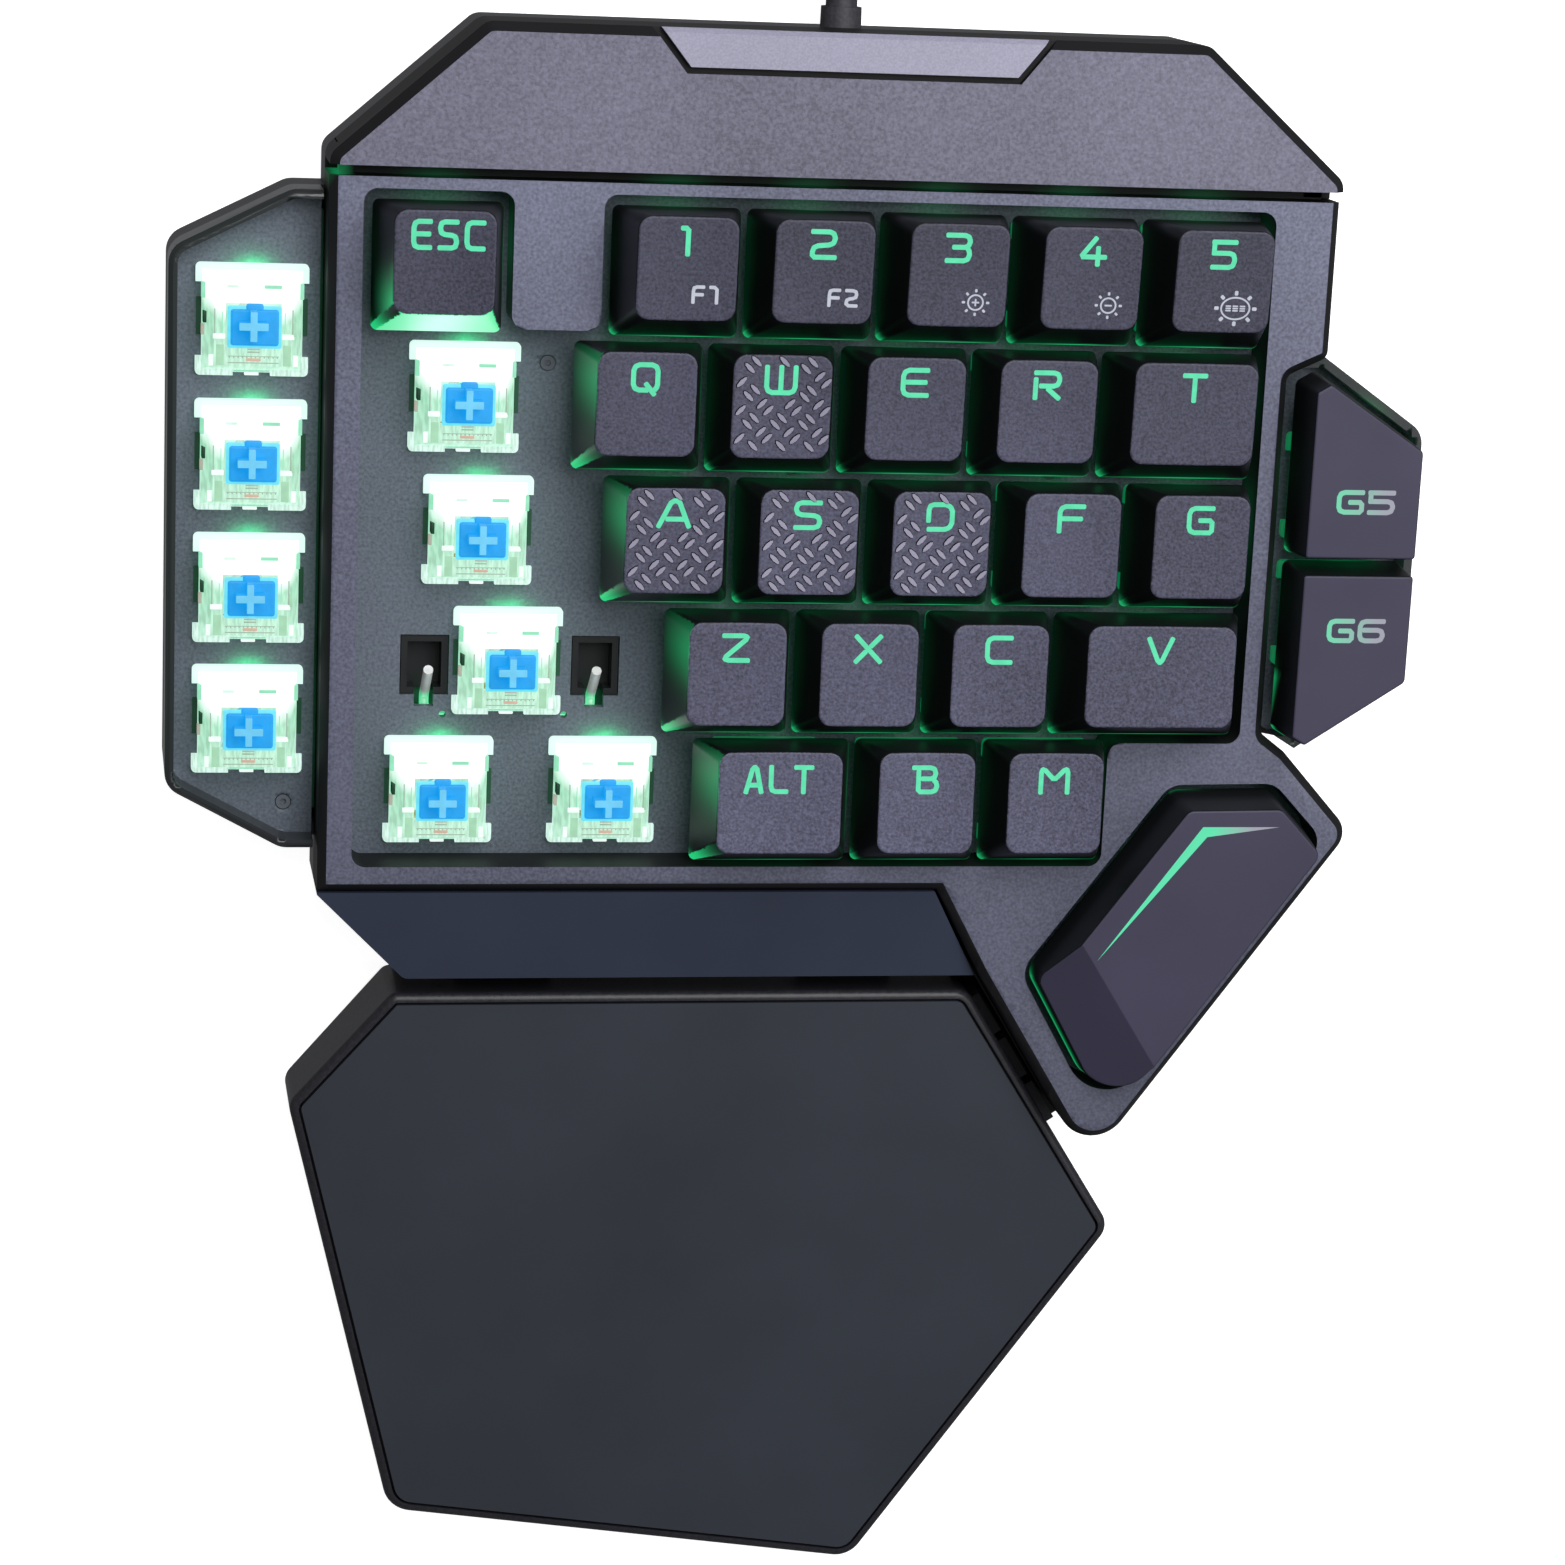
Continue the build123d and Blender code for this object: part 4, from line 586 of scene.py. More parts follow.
def deck_glow(point):
    """Green light on the deck: behind each bare switch, and round each capped one."""
    light = 0.0
    for x, y, _ in covered_places:
        if near(point, x, y, 20):
            light += 0.035 * bell(point.x - x, 4.5) * bell(point.y - y - 9.0, 1.6)
    for x, y, _ in bare_places:
        if near(point, x, y, 30):
            dx = point.x - x
            dy = point.y - y
            light += 0.75 * bell(dx, 2.1) * bell(dy - 7.7, 1.0)
            light += 0.10 * bell(dx, 3.8) * bell(dy - 8.2, 2.4)
            light += 0.010 * bell(math.hypot(dx, dy - 3), 12.0)
    return min(light, 1.0)


def wall_glow(point):
    """Green light on the walls round the keys, fading towards their tops."""
    if point.z > WALL_TOP:
        return 0.0
    light = 0.0
    for x, y, _ in covered_places:
        if near(point, x, y, 20):
            dx = point.x - x
            dy = point.y - y
            light += 0.11 * bell(dx, 4.0) * bell(dy - 10.5, 1.6)
            light += 0.035 * bell(dy - 3, 5.0) * bell(abs(dx) - 10.5, 2.0)
    for x, y, _ in bare_places:
        if near(point, x, y, 20):
            light += 0.015 * bell(math.hypot(point.x - x, point.y - y - 5), 9.0)
    fade = bell(point.z - 3.0, 4.0)
    # A lamp shows through at the left end of the groove before the cover
    spot = 0.45 * bell(math.hypot(point.x + 4.5, point.y - 98.8), 0.9)
    return min(light * fade + spot, 1.0)


def pod_glow(point):
    """Green light beside the macro keys: along the case and inside the slanted rim."""
    light = 0.004
    light += 0.25 * bell(point.x - 133.0, 0.8) * bell(point.y - 58.0, 3.5)
    light += 0.14 * bell(math.hypot(point.x - 145.5, point.y - 66.5), 2.5)
    return light if 0.1 < point.z < POD_TOP else 0.0


def cap_glow(row, x0, y0, half_width, first, top):
    """Green light on the sides of a cap, from the lamps below it and beside it."""
    high = top - CAP_FLOOR

    def glow(point, way):
        if way.z > TOP_SLOPE:
            return 0.0
        dx = point.x - x0
        dy = point.y - y0
        rise = point.z - CAP_FLOOR
        if way.x < -0.25 and way.y < -0.25:
            light = (0.62 if first else 0.40) * bell(rise, 5.0 if first else 1.2)
        elif way.y < -0.6:
            spread = 0.15 + 0.85 * bell(dx - 1.5, half_width * 0.55)
            light = 0.60 * bell(rise, 0.5) * spread
            if row == 1 and x0 < PITCH:
                light = 0.80 + 0.2 * bell(dx, 6.0)
        elif way.x < -0.6:
            light = 0.30 * bell(rise, 1.2) * bell(dy + 9.0, 1.2)
            if first == "front":
                light += 0.45 * bell(dy + 4.5, 3.5) * (rise / high) ** 2
            elif first == "back":
                light += 0.22 * bell(dy - 5.0, 4.2) * (0.12 + 0.88 * rise / high)
        elif way.x > 0.6:
            light = 0.10 * bell(rise, 1.0) * bell(dy - 2.0, 5.0)
        else:
            light = 0.10 * bell(rise, 0.5) * bell(dx, 2.5)
        return min(light, 1.0)

    return glow


def lit_copy(node, name, finishes, glow, xs, ys, zs, band=(6.9, 12.0), angle=25.0):
    """A node's own shape, cut finely enough to carry painted light.

    Level faces between the heights of the band take the first finish, and all others the second, which on
    the case and the cover is a painted shade.
    """
    bm = node_mesh(node)
    cut_planes(bm, 0, xs)
    cut_planes(bm, 1, ys)
    cut_planes(bm, 2, zs)
    paint(bm, glow)
    bm.normal_update()
    for face in bm.faces:
        level = face.normal.z > 0.95 and band[0] < face.calc_center_median().z < band[1]
        face.material_index = 0 if level or len(finishes) == 1 else 1
    piece = finish_piece(name, bm, finishes, "case", angle)
    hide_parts(node)
    return piece


def steps(low, high, step):
    """Even places between low and high."""
    count = int((high - low) / step)
    return [low + step * index for index in range(1, count + 1)]


def no_glow(point):
    return 0.0


POD_FLOOR = (-0.05, 0.05)
COVER_TOP = (9.5, 12.0)

lit_copy(
    "switch_deck",
    "deck",
    [deck_finish],
    deck_glow,
    steps(-4, 146, 2.0),
    steps(-40, 98, 0.8),
    [],
)
lit_copy(
    "top_case",
    "bezel",
    [case_finish, shaded_edge_finish],
    wall_glow,
    steps(-6, 148, 2.0),
    steps(-44, 102, 2.0),
    [0.05, 2.0, 4.0, 6.0],
)
lit_copy(
    "left_pod_shell",
    "left_pod",
    [deck_finish, rim_finish],
    deck_glow,
    steps(-28, -6, 1.5),
    steps(1, 96, 0.8),
    [],
    POD_FLOOR,
)
lit_copy(
    "right_pod_shell",
    "right_pod",
    [deck_finish, rim_finish],
    pod_glow,
    steps(132, 155, 1.0),
    steps(16, 76, 1.5),
    [],
    POD_FLOOR,
)
lit_copy("rear_cover", "cover", [cover_finish, shaded_edge_finish], no_glow, [], [], [], COVER_TOP, 4.0)


def split_key(node):
    """Copies of a key's cap and of its stem."""
    bm = node_mesh(node)
    groups = islands(bm)
    tops = [max(vert.co.z for face in group for vert in face.verts) for group in groups]
    highest = max(tops)
    stem_faces = [face for group, top in zip(groups, tops) if top < highest for face in group]
    stem = bm.copy()
    bm.faces.index_update()
    stem_marks = {face.index for face in stem_faces}
    stem.faces.ensure_lookup_table()
    others = [face for face in stem.faces if face.index not in stem_marks]
    bmesh.ops.delete(stem, geom=others, context="FACES")
    bmesh.ops.delete(bm, geom=stem_faces, context="FACES")
    return bm, stem


def paint_sides(bm, glow):
    """Paint every vertex by the steepest face that meets it."""
    layer = bm.verts.layers.float.new("glow")
    for vert in bm.verts:
        ways = [face.normal for face in vert.link_faces]
        vert[layer] = max((glow(vert.co, way) for way in ways), default=0.0)


def cap_entry(name):
    """Row, centre, half width and the side that a lamp beside it lights."""
    for key, row, share, width, *_ in CAPPED:
        if key == name:
            return row, share * PITCH, row_y(row), width * PITCH / 2, SIDE_LIGHT.get(name)
    for key, x, y in MACRO:
        if key == name:
            return 3, x, y, 8.3, None
    return 5, THUMB[0], THUMB[1], 12.0, None


# Where the caps are cut, above the deck and from their centres, to carry painted light
CAP_LEVELS = (6.35, 6.6, 7.0, 7.8, 9.2, 11.5)
CAP_SPANS = (-6.5, -3.5, -1.0, 1.5, 4.0, 6.5)
CAP_DEPTHS = (-8.6, -7.0, -4.0, -1.0, 2.0, 5.0, 8.0)
PLAIN_CAPS = ("macro_key_upper", "macro_key_lower", "thumb_key")

cap_surfaces = {}
for key in [entry[0] for entry in CAPPED] + list(PLAIN_CAPS):
    cap_mesh, stem_mesh = split_key(key)
    cap_surfaces[key] = BVHTree.FromBMesh(cap_mesh)
    row, x, y, half_width, first = cap_entry(key)
    cut_planes(cap_mesh, 2, CAP_LEVELS)
    cut_planes(cap_mesh, 0, [x + shift for shift in CAP_SPANS])
    cut_planes(cap_mesh, 1, [y + shift for shift in CAP_DEPTHS])
    cap_mesh.normal_update()
    top = max(vert.co.z for vert in cap_mesh.verts)
    paint_sides(cap_mesh, cap_glow(row, x, y, half_width, first, top))
    # Level tops take the cap's own finish, and steep sides the painted shade
    for face in cap_mesh.faces:
        face.material_index = 0 if face.normal.z > TOP_SLOPE else 1
    finishes = [macro_finish if key in PLAIN_CAPS else cap_finish, shaded_cap_side_finish]
    cap_piece = finish_piece(key + "_cap", cap_mesh, finishes, key, 22.0)
    stem_piece = finish_piece(key + "_stem", stem_mesh, [stem_finish], key, 22.0)
    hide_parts(key)
    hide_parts(key)

# Legends: strokes on a unit square, laid on the caps. A stroke's end narrows in two steps.
STROKE = 0.70
TIP = 0.28
SHOULDER = 0.55
GLYPHS = {
    "1": [[(0.0, 1), (0.62, 1), (0.62, 0)]],
    "2": [
        [(0, 1), (0.85, 1), (1, 0.86), (1, 0.64), (0.86, 0.5), (0.14, 0.44), (0, 0.3), (0, 0), (1, 0)],
    ],
    "3": [
        [(0, 1), (0.87, 1), (1, 0.87), (1, 0.66), (0.87, 0.53), (0.3, 0.53)],
        [(0.94, 0.44), (1, 0.36), (1, 0.14), (0.86, 0), (0, 0)],
    ],
    "4": [[(0.62, 1), (0.02, 0.28), (1.05, 0.28)], [(0.76, 0.62), (0.76, 0.36)], [(0.76, 0.2), (0.76, 0)]],
    "5": [
        [(1, 1), (0, 1)],
        [(0.02, 1), (0.02, 0.56)],
        [(0.05, 0.56), (0.86, 0.56), (1, 0.43), (1, 0.14), (0.86, 0), (0, 0)],
    ],
    "6": [
        [(1, 1), (0.15, 1), (0, 0.85), (0, 0.15), (0.15, 0)]
        + [(0.85, 0), (1, 0.14), (1, 0.42), (0.87, 0.55), (0.2, 0.55)],
    ],
    "A": [[(0, 0), (0.42, 1), (0.66, 1), (1, 0)], [(0.3, 0.27), (0.82, 0.27)]],
    "B": [
        [(0, 1), (0.8, 1), (0.93, 0.88), (0.93, 0.66), (0.82, 0.54), (0.4, 0.54)],
        [(0.9, 0.45), (1, 0.36), (1, 0.13), (0.87, 0), (0.2, 0), (0.2, 0.82)],
    ],
    "C": [[(1, 1), (0.15, 1), (0, 0.85), (0, 0.15), (0.15, 0), (1, 0)]],
    "D": [[(0, 0.36), (0, 0.88), (0.12, 1), (0.8, 1), (1, 0.82), (1, 0.18), (0.8, 0), (0.04, 0)]],
    "E": [[(1, 1), (0.15, 1), (0, 0.85), (0, 0.15), (0.15, 0), (1, 0)], [(0.14, 0.52), (0.92, 0.52)]],
    "F": [[(1, 1), (0.15, 1), (0, 0.85), (0, 0)], [(0.14, 0.5), (0.9, 0.5)]],
    "G": [[(1, 1), (0.15, 1), (0, 0.85), (0, 0.15), (0.15, 0), (1, 0), (1, 0.5), (0.5, 0.5)]],
    "L": [[(0, 1), (0, 0.15), (0.15, 0), (1, 0)]],
    "M": [[(0, 0), (0, 0.9), (0.1, 0.96), (0.5, 0.5), (0.9, 0.96), (1, 0.9), (1, 0)]],
    "Q": [
        [(0.55, 0), (0.15, 0), (0, 0.15), (0, 0.85), (0.15, 1)]
        + [(0.85, 1), (1, 0.85), (1, 0.15), (0.92, 0.05)],
        [(0.55, 0.22), (0.85, -0.14)],
    ],
    "R": [
        [(0, 0), (0, 0.72)],
        [(0, 1), (0.86, 1), (1, 0.88), (1, 0.6), (0.86, 0.47), (0.24, 0.47)],
        [(0.56, 0.33), (0.98, 0)],
    ],
    "S": [
        [(1, 1), (0.14, 1), (0, 0.88), (0, 0.64), (0.14, 0.52)]
        + [(0.86, 0.48), (1, 0.36), (1, 0.12), (0.86, 0), (0, 0)],
    ],
    "T": [[(0, 1), (1, 1)], [(0.5, 0.84), (0.5, 0)]],
    "V": [[(0, 1), (0.44, 0.04), (0.56, 0.04), (1, 1)]],
    "W": [[(0, 1), (0, 0.15), (0.12, 0), (0.88, 0), (1, 0.15), (1, 1)], [(0.5, 1), (0.5, 0.15)]],
    "X": [[(0, 1), (1, 0)], [(1, 1), (0.64, 0.64)], [(0.36, 0.36), (0, 0)]],
    "Z": [[(0, 1), (0.9, 1), (0.98, 0.9), (0.02, 0.1), (0.1, 0), (1, 0)]],
}


RING_POINTS = 28
RAYS = 8


def add_ribbon(bm, points, width, closed=False, finish=0):
    """A flat mitred stroke along points in the plane."""
    count = len(points)
    flat = [Vector(point) for point in points]
    pairs = []
    for index, point in enumerate(flat):
        before = flat[index - 1] if index or closed else None
        after = flat[(index + 1) % count] if index < count - 1 or closed else None
        ways = []
        if before is not None:
            ways.append((point - before).normalized())
        if after is not None:
            ways.append((after - point).normalized())
        way = sum(ways, Vector((0, 0))).normalized()
        across = Vector((-way.y, way.x))
        reach = width / 2
        if len(ways) == 2:
            reach = reach / max(across.dot(Vector((-ways[0].y, ways[0].x))), 0.5)
        pairs.append((point + across * reach, point - across * reach))
    if not closed:
        start_way = (flat[0] - flat[1]).normalized() * width * 0.5
        end_way = (flat[-1] - flat[-2]).normalized() * width * 0.5
        for pair_index, way in ((0, start_way), (-1, end_way)):
            left, right = pairs[pair_index]
            middle = (left + right) / 2 + way
            tip = (middle + (left - right) * TIP, middle - (left - right) * TIP)
            shoulder = (left + way * SHOULDER, right + way * SHOULDER)
            if pair_index == 0:
                pairs = [tip, shoulder] + pairs
            else:
                pairs = pairs + [shoulder, tip]
        count = len(pairs)
    verts = [[bm.verts.new((side.x, side.y, 0.0)) for side in pair] for pair in pairs]
    for index in range(count if closed else count - 1):
        first = verts[index]
        second = verts[(index + 1) % count]
        face = bm.faces.new((first[0], first[1], second[1], second[0]))
        face.material_index = finish


def rounded(points, reach=0.32):
    """The same path with its corners cut, so that strokes look rounded."""
    if len(points) < 3:
        return points
    flat = [Vector(point) for point in points]
    path = [flat[0]]
    for before, corner, after in zip(flat, flat[1:], flat[2:]):
        for way in (before - corner, after - corner):
            path.append(corner + way.normalized() * min(reach, way.length * 0.4))
    path.append(flat[-1])
    return [tuple(point) for point in path]


def add_word(bm, word, centre, top, letter, height, gap, stroke, finish=0):
    """Letters of one size beside each other, from their top edge down."""
    total = len(word) * letter + (len(word) - 1) * gap
    left = centre - total / 2
    for sign in word:
        wide = letter - stroke
        tall = height - stroke
        for path in GLYPHS[sign]:
            points = [
                (left + stroke / 2 + x * wide, top - stroke / 2 - (1 - y) * tall) for x, y in path
            ]
            add_ribbon(bm, rounded(points), stroke, finish=finish)
        left += letter + gap


def add_ring(bm, centre, radius_x, radius_y, width, finish):
    """An oval line."""
    x, y = centre
    angles = [2 * math.pi * index / RING_POINTS for index in range(RING_POINTS)]
    points = [(x + radius_x * math.cos(angle), y + radius_y * math.sin(angle)) for angle in angles]
    add_ribbon(bm, points, width, True, finish)


def add_sun(bm, centre, sign, finish):
    """Brightness sign: a ring with rays, and a plus, a minus or blocks inside."""
    wide = sign == "sun_wide"
    radius_x = 2.05 if wide else 1.05
    radius_y = 1.55 if wide else 1.05
    add_ring(bm, centre, radius_x, radius_y, 0.24, finish)
    ray = 0.16 if wide else 0.12
    x, y = centre
    for index in range(RAYS):
        angle = 2 * math.pi * index / RAYS
        way = (math.cos(angle), math.sin(angle))
        start = (x + way[0] * (radius_x + 0.6), y + way[1] * (radius_y + 0.55))
        end = (start[0] + way[0] * ray, start[1] + way[1] * ray)
        add_ribbon(bm, [start, end], 0.5 if wide else 0.34, finish=finish)
    if not wide:
        add_ribbon(bm, [(x - 0.4, y), (x + 0.4, y)], 0.24, finish=finish)
    if sign == "sun_plus":
        for side in (-1, 1):
            add_ribbon(bm, [(x, y + side * 0.2), (x, y + side * 0.4)], 0.24, finish=finish)
    if wide:
        for shift in (-1.02, 0.0, 1.02):
            for level in (-0.32, 0.0, 0.32):
                ends = [(x + shift - 0.28, y + level), (x + shift + 0.28, y + level)]
                add_ribbon(bm, ends, 0.22, finish=finish)


ABOVE_CAPS = 40.0
CAP_TOP = 15.0
MARK_STEP = 0.7
MARK_LIFT = 0.045
MARK_THICKNESS = 0.03


def cap_level(surface, vert):
    """Height of a cap's top below a vertex."""
    start = Vector((vert.co.x, vert.co.y, ABOVE_CAPS))
    hit = surface.ray_cast(start, Vector((0, 0, -1)))[0]
    return hit.z if hit else CAP_TOP


def lay_on(bm, surface):
    """Divide flat marks, drop them on a cap's top and give them a thickness."""
    for axis in (0, 1):
        low = min(vert.co[axis] for vert in bm.verts)
        high = max(vert.co[axis] for vert in bm.verts)
        cut_planes(bm, axis, steps(low, high, MARK_STEP))
    for vert in bm.verts:
        vert.co.z = cap_level(surface, vert) + MARK_LIFT
    bmesh.ops.solidify(bm, geom=list(bm.faces), thickness=MARK_THICKNESS)


LETTER_HEIGHT = 4.25
LETTER_WIDTH = 4.1
LETTER_WIDTHS = {
    "A": 4.9,
    "W": 4.75,
    "M": 4.65,
    "T": 3.7,
    "1": 1.9,
    "2": 3.8,
    "3": 3.8,
    "4": 4.0,
    "5": 3.8,
}
WORD_LETTER_WIDTH = 2.9
for key, row, share, width, word, extra in CAPPED:
    x = share * PITCH
    back = row_y(row) + BACK_EDGE[row]
    marks = bmesh.new()
    letter = LETTER_WIDTHS.get(word, LETTER_WIDTH) if len(word) == 1 else WORD_LETTER_WIDTH
    middle = x + (0.4 if word == "ESC" else -0.2)
    add_word(marks, word, middle, back - 1.6, letter, LETTER_HEIGHT, 0.72, STROKE)
    if extra in ("F1", "F2"):
        add_word(marks, extra, x + 2.9, back - 9.8, 1.85, 2.6, 0.55, 0.48, 1)
    elif extra:
        spot = (x + (2.1 if extra == "sun_wide" else 2.7), back - 11.3)
        add_sun(marks, spot, extra, 1)
    lay_on(marks, cap_surfaces[key])
    new_piece(key + "_legend", marks, [mint_finish, grey_legend_finish], key)


def fading(name, low, high):
    """Mint light that fades to grey between two places along x, in millimetres."""
    finish = Finish(name, {"Roughness": 0.6, "Base Color": BLACK, "Emission Strength": 0.75})
    along = finish.node("SeparateXYZ", {}, {0: finish.place()}, "X")
    start = (low - ORIGIN.x) * MM
    end = (high - ORIGIN.x) * MM
    finish.feed("Emission Color", finish.tint(along.between(start, end), MINT, PALE_GREY))
    return finish.material


# Words on the macro keys
word_fade = fading("macro_word_light", 137.0, 146.5)
for key, word, centre, top in (
    ("macro_key_upper", "G5", 143.4, 57.7),
    ("macro_key_lower", "G6", 143.4, 38.8),
):
    marks = bmesh.new()
    add_word(marks, word, centre, top, 4.15, 3.6, 0.5, 0.72)
    lay_on(marks, cap_surfaces[key])
    new_piece(key + "_legend", marks, [word_fade], key)

# Bent line on the thumb key
arrow_fade = fading("thumb_line_light", 124.0, 130.0)
arrow = bmesh.new()
tips = [(107.8, -12.5), (122.4, 7.7), (133.9, 7.7), (123.1, 6.2)]
corners = [arrow.verts.new((x, y, 0.0)) for x, y in tips]
arrow.faces.new((corners[0], corners[3], corners[1]))
arrow.faces.new((corners[1], corners[3], corners[2]))
lay_on(arrow, cap_surfaces["thumb_key"])
new_piece("thumb_key_line", arrow, [arrow_fade], "thumb_key")

# Tread on the four movement keys: pairs of bars that lean one way and then the other, lighter on top as a
# painted highlight and dark on their rims as painted shade
TREAD_CELL = 1.99
TREAD_SPREAD = 1.34
TREAD_LENGTH = 2.25
TREAD_WIDTH = 0.92
TREAD_HEIGHT = 0.26
TREAD_BORDER = 0.55
TREAD_SHIFT = (-0.3, -1.27)
TREAD_RIM = 0.13
TREAD_SINK = 0.03
# The letter keeps its own place on those caps, free of tread, as distances from the back edge
LETTER_HALF = 2.7
LETTER_START = 1.2
LETTER_END = 6.3


def add_lozenge(bm, x, y, degrees):
    """Pointed bar with sloping sides, flat for now; gives the vertices of its top."""
    verts = bmesh.ops.create_circle(bm, cap_ends=True, radius=1.0, segments=8)["verts"]
    face = verts[0].link_faces[0]
    bmesh.ops.scale(bm, vec=(TREAD_LENGTH / 2, TREAD_WIDTH / 2, 1.0), verts=verts)
    rim = bmesh.ops.inset_individual(bm, faces=[face], thickness=TREAD_RIM, depth=0.0)
    # The rim takes the second finish, the painted shade of the caps' sides
    for part in rim["faces"]:
        part.material_index = 1
    group = list({vert for part in [face] + rim["faces"] for vert in part.verts})
    spin = Matrix.Rotation(math.radians(degrees), 3, "Z")
    bmesh.ops.rotate(bm, cent=(0, 0, 0), matrix=spin, verts=group)
    bmesh.ops.translate(bm, vec=(x, y, 0.0), verts=group)
    return list(face.verts)


for key, row, share, width, word, extra in CAPPED:
    if word not in "WASD":
        continue
    x = share * PITCH
    back = row_y(row) + BACK_EDGE[row] - 0.3
    depth = TOP_DEPTH[row] - 0.5
    half = (PITCH - 5.05) / 2
    tread = bmesh.new()
    high = set()
    for line in range(-1, 9):
        lean = 1 if line % 2 else -1
        for place in range(-5, 6):
            if (line + place) % 2:
                continue
            for side in (-0.5, 0.5):
                aside = side * TREAD_SPREAD * math.sqrt(0.5)
                spot_x = x + TREAD_SHIFT[0] + place * TREAD_CELL + aside
                spot_y = back + TREAD_SHIFT[1] - line * TREAD_CELL - lean * aside
                inside_x = abs(spot_x - x) < half - TREAD_BORDER
                inside_y = back - depth + TREAD_BORDER < spot_y < back - TREAD_BORDER
                beside = abs(spot_x - x + 0.2) >= LETTER_HALF
                clear = beside or not back - LETTER_END < spot_y < back - LETTER_START
                if inside_x and inside_y and clear:
                    high.update(add_lozenge(tread, spot_x, spot_y, 45 * lean))
    for vert in tread.verts:
        rise = TREAD_HEIGHT if vert in high else -TREAD_SINK
        vert.co.z = cap_level(cap_surfaces[key], vert) + rise
    new_piece(key + "_tread", tread, [tread_highlight_finish, shaded_cap_side_finish], key)

# Switch housings, seen without caps at nine places
HOUSING_TOP = 6.6
SWITCH_FIELD = 18.0


def housing_finish(name, back_light, middle_light, front_light):
    """Clear plastic full of light from the lamp at its back; v runs from the front to the back."""
    constants = {"Roughness": 0.35, "Emission Strength": 1.0, "Specular IOR Level": 0.3}
    finish = Finish(name, constants)
    where = finish.node("UVMap", {"uv_map": "switch"})
    v = finish.node("SeparateXYZ", {}, {0: where}, "Y")
    u = finish.node("SeparateXYZ", {}, {0: where}, "X")
    stretched = finish.node("CombineXYZ", {}, {0: u * 46.0, 1: v * 9.0})
    ribs = finish.noise(1.0, 1.0, stretched).between(0.35, 0.65)
    cloud = finish.noise(260.0, 2.0)
    off = (u - 0.5) * (u - 0.5)
    bright = (v + cloud * 0.10 - off * 1.1).between(0.49, 0.64)
    front = finish.tint(v.between(0.20, 0.50), front_light, middle_light)
    shaded = finish.tint(ribs * 0.55, front, (0.22, 0.46, 0.30, 1.0))
    finish.feed("Emission Color", finish.tint(bright, shaded, back_light))
    finish.feed("Base Color", finish.tint(cloud, grey(0.10), grey(0.16)))
    return finish.material


clear_finish = housing_finish(
    "clear_housing", (1.1, 1.2, 1.15, 1.0), (0.40, 0.80, 0.56, 1.0), (0.50, 0.84, 0.64, 1.0)
)
flange_finish = housing_finish(
    "flange_plastic", (0.66, 0.92, 0.82, 1.0), (0.36, 0.78, 0.54, 1.0), (0.68, 0.92, 0.84, 1.0)
)
under_finish = glowing("lamp_under_cap", (0.0, 0.30, 0.10, 1.0), 0.5, (0.06, 0.09, 0.07, 1.0))


def set_switch_uv(bm, places):
    """Square UV round each switch, so that one finish lights them all alike."""
    layer = bm.loops.layers.uv.new("switch")
    for face in bm.faces:
        middle = face.calc_center_median()
        x, y, turned = min(
            places, key=lambda place: math.hypot(middle.x - place[0], middle.y - place[1])
        )
        turn_back = Matrix.Rotation(math.radians(-turned), 2)
        for loop in face.loops:
            local = turn_back @ Vector((loop.vert.co.x - x, loop.vert.co.y - y))
            loop[layer].uv = (local.x / SWITCH_FIELD + 0.5, local.y / SWITCH_FIELD + 0.5)
        if (x, y, turned) in covered_places:
            face.material_index = 1


# Finishes of the details, by their number in the list of the piece's finishes
WINDOW, LEAF, COPPER, BAR, RIB, BRIGHT, SHADE, HAZE = range(8)
DETAIL_FINISHES = [
    dark_finish,
    beige_finish,
    rust_finish,
    bar_finish,
    rib_finish,
    lit_finish,
    shade_finish,
    haze_finish,
]
TEETH = 12


